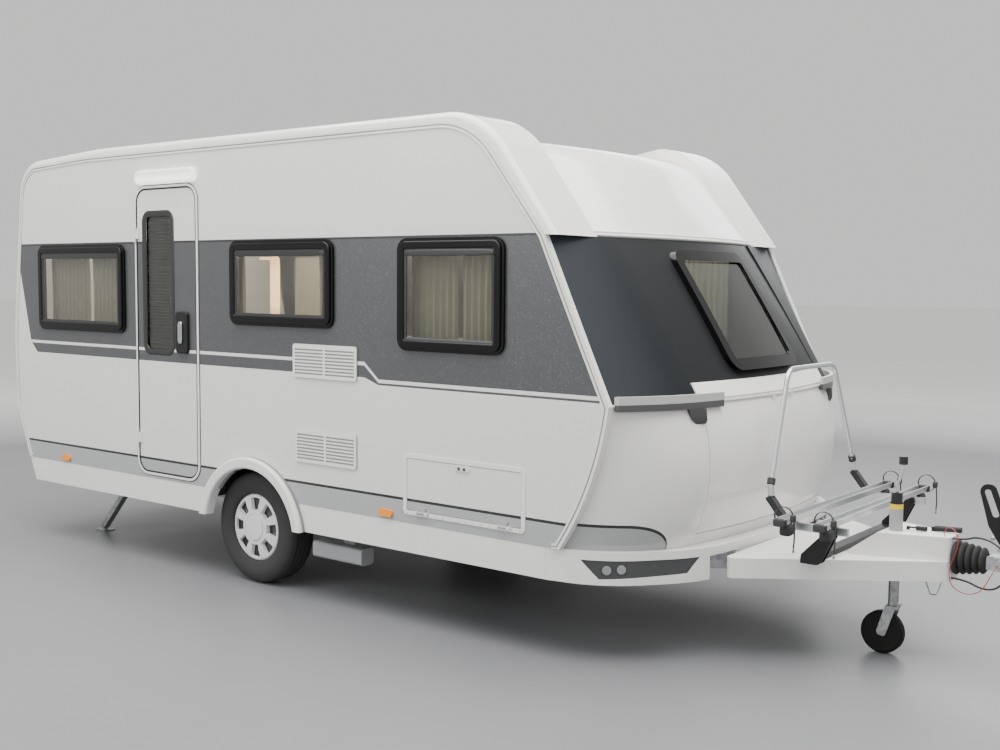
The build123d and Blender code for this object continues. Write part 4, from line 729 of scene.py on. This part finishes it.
class CARAVAN_OT_metal_finishes(bpy.types.Operator):
    """Galvanised steel, silver tube, rubber and dark plastic of the running gear and drawbar"""
    bl_idname = "caravan.metal_finishes"
    bl_label = "Metal And Rubber"

    def execute(self, context):
        zinc = Finish("galvanised")
        spangle = zinc.add("ShaderNodeTexVoronoi", {"Vector": zinc.place, "Scale": 55.0})
        tone = zinc.add("ShaderNodeSeparateColor", {0: spangle.outputs["Color"]}).outputs[0]
        zinc.paint(zinc.mix(tone, (0.30, 0.31, 0.32), (0.52, 0.53, 0.54)))

        silver = Finish("silver_tube")
        near_foot = silver.z.between(0.646, 0.762) * (silver.x < AXLE_X + 2.9655)
        silver.paint(silver.mix(near_foot, (0.60, 0.61, 0.62), (0.016, 0.016, 0.017)))
        silver.feed("Metallic", near_foot.ramp(0.0, 1.0, 0.85, 0.0))

        trim = Finish("wheel_trim")
        # Painted shade: the sunk pockets and the back of the trim are dark
        inner = abs(trim.y) < WHEEL_Y + TYRE_HALF - 0.031
        trim.paint(trim.mix(inner, (0.74, 0.74, 0.73), (0.05, 0.05, 0.052)))

        # Jockey tube, upwards: grey sleeve, yellow ring, black clamp, bare metal, black clamp
        tube = Finish("jockey_tube")
        bare = tube.z.between(0.768, 0.896)
        paint = tube.mix(tube.z > 0.688, (0.33, 0.33, 0.32), (0.80, 0.55, 0.03))
        paint = tube.mix(tube.z > 0.712, paint, (0.015, 0.015, 0.016))
        tube.paint(tube.mix(bare, paint, (0.70, 0.70, 0.70)))
        tube.feed("Metallic", bare * 0.95)
        for name in ("black_plastic", "black_rubber", "tyre_rubber", "mover_housing"):
            Finish(name)
        return {"FINISHED"}


class CARAVAN_OT_lens_finishes(bpy.types.Operator):
    """Window frames, smoked panes and lamp lenses"""
    bl_idname = "caravan.lens_finishes"
    bl_label = "Glass And Lenses"

    def execute(self, context):
        for name in ("black_gloss", "lamp_cover"):
            Finish(name)
        pane = Finish("smoked_pane")
        # Painted shade: the front window's pane is tinted much darker than the side panes, for the dark
        # cabin seen through it
        pane.paint(pane.mix(pane.x > AXLE_X + 1.95, (0.66, 0.67, 0.63), (0.20, 0.23, 0.215)))
        for name, direction in (("amber_lens", "X"), ("red_lens", "Z")):
            lens = Finish(name)
            ribs = lens.add("ShaderNodeTexWave", {"Vector": lens.place, "Scale": 60.0},
                            bands_direction=direction)
            lens.bump(ribs.outputs["Fac"], 0.0006, 0.5)
        milky = Finish("awning_lens")
        glow = milky.z.ramp(2.348, 2.300)
        milky.feed("Emission Color", milky.mix(glow, (0.10, 0.10, 0.10), (1.0, 0.98, 0.94)))
        return {"FINISHED"}


class CARAVAN_OT_curtains(bpy.types.Operator):
    """Hanging curtains behind the side windows"""
    bl_idname = "caravan.curtains"
    bl_label = "Curtains"

    def execute(self, context):
        Finish("curtain_cloth")
        for side, side_name in SIDES[::-1]:
            for index, (window, (gap, back)) in enumerate(zip(SIDE_WINDOWS, CURTAIN_GAPS)):
                x_from, x_to, z_from, z_to = window
                middle = (x_from + x_to) / 2
                panels = [self.drape(start, end, z_from - 0.06, z_to - 0.03, side) for start, end in (
                    (x_from + 0.02 - back, middle - gap - back), (middle + gap, x_to - 0.02))]
                curtain = make_piece(f"curtain_{side_name}_{index + 1}",
                                     [(grid, False, False) for grid, _ in panels], "caravan",
                                     "curtain_cloth", closed=False)
        return {"FINISHED"}

    def drape(self, start, end, low, high, side):
        """A hanging panel: its depth is a sine of the place along it, fuller towards the hem. Returns
        the grid and the width of the flat cloth, which is the length of the middle row."""
        folds = round((end - start) / 0.045)
        along = np.linspace(0, 1, 10 * folds + 1)[None, :]
        down = np.linspace(0, 1, 14)[:, None]
        wave = np.sin(2 * math.pi * along * folds + 0.7 * np.sin(3 * down))
        depth = 0.012 * (0.6 + 0.4 * down) * wave
        x = start + (end - start) * along + 0.0 * down
        z = high - (high - low) * down + 0.0 * along
        grid = np.stack([x, side * (HALF - 0.075 - depth), z], -1)
        return grid, float(np.linalg.norm(np.diff(grid[7], axis=0), axis=1).sum())


class CARAVAN_OT_tyres(bpy.types.Operator):
    """Tyres with tread grooves and sidewall ribs, in place of the plain tyre solids"""
    bl_idname = "caravan.tyres"
    bl_label = "Tyres"

    steps: IntProperty(name="Steps", description="Facets round the tyre", default=44, min=16)

    def execute(self, context):
        """The section is one sidewall, the tread with its grooves, and the sidewall's mirror image."""
        half, top = TYRE_HALF, TYRE_RADIUS
        sidewall = [(-half + 0.018, RIM_RADIUS), (-half + 0.004, RIM_RADIUS + 0.012),
                    (-half + 0.004, RIM_RADIUS + 0.030), (-half, RIM_RADIUS + 0.036),
                    (-half, top - 0.052), (-half + 0.008, top - 0.022), (-half + 0.022, top - 0.006)]
        grooves = (-0.045, -0.015, 0.015, 0.045)
        tread = [(groove + off, top - low) for groove in grooves
                 for off, low in ((-0.005, 0.001), (-0.003, 0.008), (0.003, 0.008), (0.005, 0.001))]
        section = [*sidewall, *tread, *((-y, r) for y, r in reversed(sidewall))]
        for side, name in SIDES:
            centre = (0.0, side * WHEEL_Y, TYRE_RADIUS)
            grid = revolved(section, centre, (0, 1, 0), self.steps)
            tyre = make_piece(f"tread_tyre_{name}", [(grid, True, True)], f"wheel_{name}_body",
                              "tyre_rubber", sharp=50.0)
            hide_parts(f"tyre_{name}")
        return {"FINISHED"}


class CARAVAN_OT_wheel_trims(bpy.types.Operator):
    """Wheel trims with deep pockets between their spokes, in place of the plain ones"""
    bl_idname = "caravan.wheel_trims"
    bl_label = "Wheel Trims"

    pockets: IntProperty(name="Pockets", description="Pockets round the trim", default=8, min=3)
    depth: FloatProperty(name="Pocket Depth", description="Depth of a pocket", default=0.034,
                         unit="LENGTH")

    def execute(self, context):
        """The face is a shallow dome, lower by the square of the radius; the pockets are sunk where
        a product of three soft steps (angle, inner and outer radius) is 1."""
        edge = 0.1912
        radius = np.array([
            edge, 0.189, 0.185, 0.179, 0.173, 0.170, 0.168, 0.166, 0.163, 0.155, 0.145, 0.135, 0.125,
            0.115, 0.108, 0.104, 0.101, 0.099, 0.096, 0.090, 0.080, 0.076, 0.073, 0.069, 0.060, 0.050,
            0.040, 0.034, 0.031, 0.029, 0.015, 0.0])[:, None]
        turn = np.linspace(0, 2 * math.pi, 20 * self.pockets, endpoint=False)[None, :]
        sector = 2 * math.pi / self.pockets
        off = np.abs((turn + sector / 2) % sector - sector / 2) * radius
        width = 0.044 + 0.36 * (radius - 0.099)

        def soft(value):
            return np.clip(value / 0.005 + 0.5, 0.0, 1.0)

        sunk = soft(0.5 * width - off) * soft(radius - 0.101) * soft(0.168 - radius)
        lip = -0.010 * np.clip((radius - 0.181) / 0.010, 0.0, 1.0) ** 2
        dome = 0.003 * soft(0.072 - radius) - 0.016 * (radius / RIM_RADIUS) ** 2
        face = CAP_FACE + dome + lip - self.depth * sunk
        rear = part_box("wheel_left")[0].y + 0.001
        bore_end, drum_end, bore = WHEEL_Y + 0.0512, WHEEL_Y + 0.0412, 0.0243
        back = np.array([(bore_end, 0.0), (bore_end, bore), (drum_end, bore), (drum_end, 0.184),
                         (rear, 0.185), (rear, edge)])
        across = np.concatenate([back[:, :1] + 0 * turn, face + 0 * turn])
        reach = np.concatenate([back[:, 1:] + 0 * turn, radius + 0 * turn])
        bearing = np.broadcast_to(turn, reach.shape)
        for side, name in SIDES:
            grid = np.stack([reach * np.cos(bearing), side * across,
                             TYRE_RADIUS + reach * np.sin(bearing)], -1)
            trim = make_piece(f"pocket_trim_{name}", [(grid, False, True)], f"wheel_{name}_body",
                              "wheel_trim")
            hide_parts(f"wheel_{name}")
        return {"FINISHED"}


class CARAVAN_OT_door_fittings(bpy.types.Operator):
    """Rubber seals inside and outside the door leaf's frame, and the chrome lever on its plate"""
    bl_idname = "caravan.door_fittings"
    bl_label = "Door Fittings"

    def execute(self, context):
        x_from, x_to, z_from, z_to, radius = DOOR
        inset = 0.022
        outline = rounded_outline(x_from + inset, x_to - inset, z_from + inset, z_to - inset,
                                  radius - inset, 12)
        lip = [(-0.0015, -0.012), (0.0015, -0.012), (0.0018, 0.002), (0.0, 0.004), (-0.0018, 0.002)]
        frame_face, band = 0.006, 0.020
        inner = [(-band - 0.0008, -0.010), (-band + 0.0004, -0.010),
                 (-band + 0.0004, frame_face - 0.0003), (-band + 0.0060, frame_face - 0.0003),
                 (-band + 0.0060, frame_face + 0.0004), (-band - 0.0008, frame_face + 0.0004)]
        outer = [(-0.0003, -0.0005), (0.0055, -0.0005), (0.0055, 0.0010), (-0.0003, 0.0016)]
        leaf_edge = rounded_outline(x_from, x_to, z_from, z_to, radius, 12)
        seals = [(side_moulding(outline, lip, -1), True, True),
                 (side_moulding(leaf_edge, inner, -1), True, True),
                 (side_moulding(leaf_edge, outer, -1), True, True)]
        make_piece("door_seal", seals, "caravan", "black_rubber")
        Finish("lever_chrome")
        lever = pillow((-0.556, -HALF - 0.034, 1.345), (-0.518, -HALF - 0.018, 1.475), 5.0, 16, 28)
        make_piece("door_lever", [(lever, False, True)], "door_body", "lever_chrome")
        return {"FINISHED"}


class CARAVAN_OT_glass_fittings(bpy.types.Operator):
    """Border and pleated blind of the door's glass, borders of the side windows, lit lamp inside"""
    bl_idname = "caravan.glass_fittings"
    bl_label = "Door Glass And Lamp"

    pleats: IntProperty(name="Pleats", description="Pleats of the door's blind", default=44, min=8)

    def execute(self, context):
        x_from, x_to, z_from, z_to, radius = DOOR_GLASS
        outline = rounded_outline(x_from, x_to, z_from, z_to, radius, 10)
        border = [(-0.026, 0.001), (-0.024, 0.0045), (-0.014, 0.0065), (-0.004, 0.0070),
                  (0.006, 0.0065), (0.012, 0.0045), (0.012, 0.0025), (-0.006, 0.0025), (-0.006, 0.001)]
        make_piece("door_glass_border", [(side_moulding(outline, border, -1), True, True)], "door_body",
                   "black_gloss")

        # Each side window: a thin ring round the pane and the bar of its top hinge
        borders, inset = [], 0.052
        edge = [(-0.016, 0.0188), (-0.0145, 0.0197), (0.0005, 0.0202), (0.0005, 0.0188)]
        for rear, front, sill, head in SIDE_WINDOWS:
            outline = rounded_outline(rear + inset, front - inset, sill + inset, head - inset, 0.010, 6)
            hinge = pillow((rear + inset, -HALF - 0.0250, head - inset - 0.036),
                           (front - inset, -HALF - 0.0188, head - inset - 0.004), 6.0, 12, 32)
            for side in (-1, 1):
                borders.append((side_moulding(outline, edge, side), True, True))
                borders.append((hinge * (1, -side, 1), False, True))
        make_piece("window_borders", borders, "caravan", "black_gloss")

        Finish("blind_cloth")
        # The blind's depth is a triangle wave down the glass
        down = np.linspace(0, 1, 4 * self.pleats + 1)[:, None]
        across = np.linspace(x_from + 0.006, x_to - 0.006, 8)[None, :]
        depth = 0.003 * (2 / math.pi) * np.arcsin(np.sin(2 * math.pi * self.pleats * down))
        height = z_from + 0.006 + (z_to - z_from - 0.012) * down
        grid = np.stack(np.broadcast_arrays(across, -HALF + 0.022 + depth, height), -1)
        blind = make_piece("door_blind", [(grid, False, False)], "door_body", "blind_cloth",
                           closed=False)

        glow = Finish("warm_lamp")
        bright = abs(glow.z - 1.68).ramp(0.10, 0.135, 1.0, 0.3)
        glow.feed("Emission Color", glow.mix(bright, (0.5, 0.3, 0.12), (1.0, 0.62, 0.28)))
        bar = pillow((0.080, -1.030, 1.525), (0.128, -0.995, 1.850), 9.0, 12, 28)
        arm = revolved([(0.0, 0.0), (0.0, 0.008), (0.102, 0.008), (0.102, 0.0)],
                       (0.104, -1.118, 1.838), (0, 1, 0), 12)
        make_piece("wall_lamp", [(bar, False, True), (arm, True, False)], "caravan", "warm_lamp")
        return {"FINISHED"}


class CARAVAN_OT_gaiter(bpy.types.Operator):
    """Rubber gaiter with soft folds, in place of the plain one"""
    bl_idname = "caravan.gaiter"
    bl_label = "Gaiter"

    folds: IntProperty(name="Folds", description="Folds of the gaiter", default=5, min=2)

    def execute(self, context):
        """The radius tapers forwards, less a fold that is a root-like power of a sine's size."""
        foot, length, shaft_radius, fold_depth = (3.5462, 0.0, 0.492), 0.1435, 0.0262, 0.019
        share = np.linspace(0, 1, 16 * self.folds + 1)
        crest = 0.082 - 0.024 * share
        radius = crest - fold_depth * (1 - np.abs(np.sin(math.pi * self.folds * share)) ** 0.7)
        outer = np.stack([length * share, radius], -1)
        profile = np.concatenate([[(0.0, shaft_radius)], outer, [(length, shaft_radius)]])
        grid = revolved(profile, foot, (1, 0, 0), 36)
        piece = make_piece("folded_gaiter", [(grid, True, True)], "caravan", "black_rubber",
                           sharp=60.0)
        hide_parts("gaiter")
        return {"FINISHED"}


class CARAVAN_OT_carrier_fittings(bpy.types.Operator):
    """Wheel straps, buckles, end caps and collars of the cycle carrier"""
    bl_idname = "caravan.carrier_fittings"
    bl_label = "Carrier Fittings"

    loop_radius: FloatProperty(name="Loop Radius", description="Radius of a strap's loop",
                               default=0.043, unit="LENGTH")

    def execute(self, context):
        """A strap's loop is a circle, and its tail falls straight while it swings out by a sine."""
        Finish("strap_tip")
        strap = strap_profile(0.003, 0.013)
        straps, caps, tips = [], [], []
        turn = np.linspace(0, 2 * math.pi, 40, endpoint=False)
        for rail_x in CARRIER_RAILS:
            y = RAIL_END - 0.014
            loop = np.stack([rail_x + 0.016 + self.loop_radius * np.cos(turn), y + 0 * turn,
                             CARRIER_RAIL_Z + 0.038 + self.loop_radius * np.sin(turn)], -1)
            straps.append((carried(loop, strap, (0, 1, 0), closed=True), True, True))
            fall = np.linspace(0, 1, 14)
            tail = np.stack([rail_x + 0.0625 + 0.006 * np.sin(2.6 * fall), y + 0.004 * fall,
                             CARRIER_RAIL_Z + 0.036 - 0.135 * fall], -1)
            straps.append((carried(tail, strap, (0, 1, 0)), False, True))
            end = tail[-1]
            tips.append((pillow(end - (0.003, 0.008, 0.018), end + (0.003, 0.008, 0.003), 5.0),
                         False, True))
            for low, high, bulge in (
                    ((0.048, -0.013, 0.018), (0.070, 0.013, 0.050), 5.0),
                    ((-0.029, -0.010, -0.009), (0.029, 0.018, 0.0255), 7.0),
                    ((-0.024, -0.100, -0.060), (0.028, -0.030, -0.006), 4.0)):
                base = np.array((rail_x, y, CARRIER_RAIL_Z))
                caps.append((pillow(base + low, base + high, bulge, 12, 24), False, True))
        foot, bend = np.array((2.863, 0.488, 0.800)), np.array((2.836, 0.266, 1.324))
        along = (bend - foot) / np.linalg.norm(bend - foot)
        collar = revolved([(0.0, 0.0125), (0.0, 0.0175), (0.002, 0.0190), (0.028, 0.0190),
                           (0.030, 0.0175), (0.030, 0.0125)], foot + 0.010 * along, along, 28)
        caps.append((collar, True, True))
        screw = foot + 0.025 * along + np.array((0.004, -0.0185, 0))
        tips.append(disc(screw, (0.2, -1, 0), 0.004, 0.002))
        make_piece("carrier_straps", mirrored(straps), "carrier_body", "black_plastic")
        make_piece("carrier_caps", mirrored(caps), "carrier_body", "black_plastic")
        make_piece("strap_tips", mirrored(tips), "carrier_body", "strap_tip")
        return {"FINISHED"}


class CARAVAN_OT_front_fittings(bpy.types.Operator):
    """Rain strip and side strips of the hood, lamps in the bumper and inner blocks of the grips"""
    bl_idname = "caravan.front_fittings"
    bl_label = "Front Fittings"

    def execute(self, context):
        double = [(-0.002, -0.016), (0.006, -0.016), (0.0085, -0.012), (0.006, -0.007), (0.003, -0.005),
                  (0.003, 0.001), (0.006, 0.003), (0.0085, 0.007), (0.006, 0.013), (-0.002, 0.015)]
        make_piece("rain_strip", [(self.on_hood(double, 1.952), False, True)], "caravan",
                   "white_moulding")
        # Painted shadow: a thin black strip in the seam under the rain strip, above the front panel
        gap = [(-0.004, -0.0035), (0.0015, -0.0035), (0.0015, 0.0035), (-0.004, 0.0035)]
        make_piece("rain_strip_shadow_line", [(self.on_hood(gap, 1.9345), False, True)], "caravan",
                   "black_rubber")

        # Strips over the slit between the hood and each front shoulder's foot: x and y, low and high z
        path = np.array([(1.255, 0.985), (1.32, 0.942), (1.38, 0.890), (1.42, 0.867), (1.46, 0.846),
                         (1.50, 0.820), (1.54, 0.812), (1.60, 0.806), (1.68, 0.806)])
        low = np.array([2.443, 2.435, 2.429, 2.424, 2.419, 2.4135, 2.4075, 2.399, 2.381])
        high = np.array([2.519, 2.519, 2.519, 2.519, 2.519, 2.517, 2.511, 2.494, 2.452])
        near, far = path, path + (0.0, 0.004)
        ribbon = np.stack([np.c_[near, low], np.c_[far, low], np.c_[far, high], np.c_[near, high]], 1)
        make_piece("shoulder_closers", mirrored([(capped(ribbon), False, True)]), "caravan", "gel_coat")

        Finish("lamp_dome")
        lamps, bezels = [], []
        for centre, axis in (((2.3543, 1.0616, 0.4385), (0.539, 0.843, 0)),
                             ((2.4075, 1.0227, 0.4427), (0.641, 0.768, 0))):
            lamps.append((revolved([(-0.002, 0.0), (-0.002, 0.021), (0.0012, 0.021), (0.0022, 0.012),
                                    (0.0026, 0.0)], centre, axis, 24), True, False))
            bezels.append((revolved([(-0.002, 0.0215), (0.0020, 0.0215), (0.0030, 0.0235),
                                     (0.0020, 0.0260), (-0.002, 0.0265)], centre, axis, 28), True, True))
        make_piece("bumper_lamps", mirrored(lamps), "caravan", "lamp_dome")
        make_piece("bumper_lamp_bezels", mirrored(bezels), "caravan", "black_plastic")

        Finish("grip_block")
        # Grip blocks, downwards: outer and inner place on the front, and how far each stands out there
        rows = np.array([[(2.5925, 0.790, 1.160), (2.6250, 0.701, 1.160)],
                         [(2.5965, 0.783, 1.132), (2.6300, 0.701, 1.132)],
                         [(2.6030, 0.770, 1.108), (2.6350, 0.701, 1.108)],
                         [(2.6130, 0.752, 1.090), (2.6370, 0.701, 1.090)]])
        out = np.array([[(0.020, 0.007, 0), (0.020, 0.004, 0)], [(0.019, 0.007, 0), (0.019, 0.004, 0)],
                        [(0.016, 0.006, 0), (0.016, 0.003, 0)], [(0.006, 0.002, 0), (0.006, 0.001, 0)]])
        back = rows - (0.012, 0.004, 0)
        loop = np.stack([back[:, 0], rows[:, 0] + out[:, 0], rows[:, 1] + out[:, 1], back[:, 1]], 1)
        make_piece("grip_blocks", mirrored([(capped(loop), False, True)]), "caravan", "grip_block")
        return {"FINISHED"}

    def on_hood(self, profile, height):
        """A strip on the hood's lower edge: an arc about the upright axis that the hood is bowed round,
        with the profile's first direction square to the hood and its second up the slope."""
        centre_x, lean = -0.8725, math.atan2(0.611, 0.792)
        edge_radius, edge_height, half_width = 3.0633, 1.9435, 0.80
        radius = edge_radius - (height - edge_height) * math.tan(lean)
        sweep = math.asin(half_width / radius)
        turn = np.linspace(-sweep, sweep, 41)
        spoke = np.stack([np.cos(turn), np.sin(turn), 0 * turn], -1)
        profile = np.asarray(profile)
        reach = radius + profile[:, 0] * math.cos(lean) - profile[:, 1] * math.sin(lean)
        rise = height + profile[:, 0] * math.sin(lean) + profile[:, 1] * math.cos(lean)
        grid = spoke[:, None] * reach[None, :, None] + rise[None, :, None] * np.array((0, 0, 1.0))
        return capped(grid + (centre_x, 0, 0))


class CARAVAN_OT_small_fittings(bpy.types.Operator):
    """Bolts of the stabiliser lever and coupling, screws and catches of the flap, wheel cap rings"""
    bl_idname = "caravan.small_fittings"
    bl_label = "Small Fittings"

    def execute(self, context):
        lever = [disc((x, -0.0453, z), (0, -1, 0), 0.010, 0.005)
                 for x, z in ((3.722, 0.606), (3.752, 0.560))]
        head = [disc((x, side * 0.036, z), (0, side, 0), 0.008, 0.004)
                for x, z in ((3.735, 0.515), (3.835, 0.505)) for side in (-1, 1)]
        make_piece("lever_bolts", lever + head, "caravan", "strap_tip")

        screws = [disc((x, -HALF - 0.004, 0.5735), (0, -1, 0), 0.0035, 0.0015, steps=8)
                  for x in np.linspace(1.232, 1.937, 16)]
        make_piece("flap_screws", screws, "caravan", "strap_tip")
        catches = [disc((x, -HALF - 0.008, 0.827), (0, -1, 0), 0.0085, 0.003) for x in (1.568, 1.602)]
        make_piece("flap_catches", catches, "flap_body", "grip_plastic")

        ring = [(-0.003, 0.0715), (-0.0008, 0.0720), (-0.0002, 0.0735), (-0.0008, 0.0750),
                (-0.004, 0.0760)]
        for side, name in SIDES:
            grid = revolved(ring, (0.0, side * CAP_FACE, TYRE_RADIUS), (0, side, 0), 36)
            make_piece(f"cap_ring_{name}", [(grid, True, True)], f"wheel_{name}_body", "strap_tip")
        return {"FINISHED"}


class CARAVAN_OT_rear_fittings(bpy.types.Operator):
    """Blank number plate on its holder at the rear"""
    bl_idname = "caravan.rear_fittings"
    bl_label = "Rear Fittings"

    def execute(self, context):
        Finish("blank_plate")
        holder = pillow((-2.380, -0.275, 0.872), (-2.364, 0.275, 1.002), 14.0, 14, 40)
        sheet = pillow((-2.3835, -0.260, 0.880), (-2.3780, 0.260, 0.992), 18.0, 14, 40)
        make_piece("plate_holder", [(holder, False, True)], "caravan", "black_plastic")
        make_piece("blank_plate", [(sheet, False, True)], "caravan", "blank_plate")
        return {"FINISHED"}


class CARAVAN_PT_panel(bpy.types.Panel):
    """Sizes, colours and steps of the caravan"""
    bl_idname = "CARAVAN_PT_panel"
    bl_label = "Caravan"
    bl_space_type = "VIEW_3D"
    bl_region_type = "UI"
    bl_category = "Caravan"

    def draw(self, context):
        for group in GROUPS_OF_VALUES:
            values = getattr(context.scene, group)
            for name in values.bl_rna.properties.keys():
                if name not in ("rna_type", "name"):
                    self.layout.prop(values, name)
        for step in STEPS:
            self.layout.operator(step.bl_idname)


STEPS = (
    CARAVAN_OT_stage,
    CARAVAN_OT_cables,
    CARAVAN_OT_body_finishes,
    CARAVAN_OT_metal_finishes,
    CARAVAN_OT_lens_finishes,
    CARAVAN_OT_curtains,
    CARAVAN_OT_tyres,
    CARAVAN_OT_wheel_trims,
    CARAVAN_OT_door_fittings,
    CARAVAN_OT_glass_fittings,
    CARAVAN_OT_gaiter,
    CARAVAN_OT_carrier_fittings,
    CARAVAN_OT_front_fittings,
    CARAVAN_OT_small_fittings,
    CARAVAN_OT_rear_fittings,
)
GROUPS_OF_VALUES = {
    "caravan_colours": CaravanColours, "caravan_livery": CaravanLivery, "caravan_studio": CaravanStudio}
CLASSES = (*GROUPS_OF_VALUES.values(), *STEPS, CARAVAN_PT_panel)


def register():
    for item in CLASSES:
        bpy.utils.register_class(item)
    for name, kind in GROUPS_OF_VALUES.items():
        setattr(bpy.types.Scene, name, PointerProperty(type=kind))


def unregister():
    for name in GROUPS_OF_VALUES:
        delattr(bpy.types.Scene, name)
    for item in reversed(CLASSES):
        bpy.utils.unregister_class(item)


def main():
    register()
    for step in STEPS:
        space, name = step.bl_idname.split(".")
        getattr(getattr(bpy.ops, space), name)()


if __name__ == "__main__":
    main()
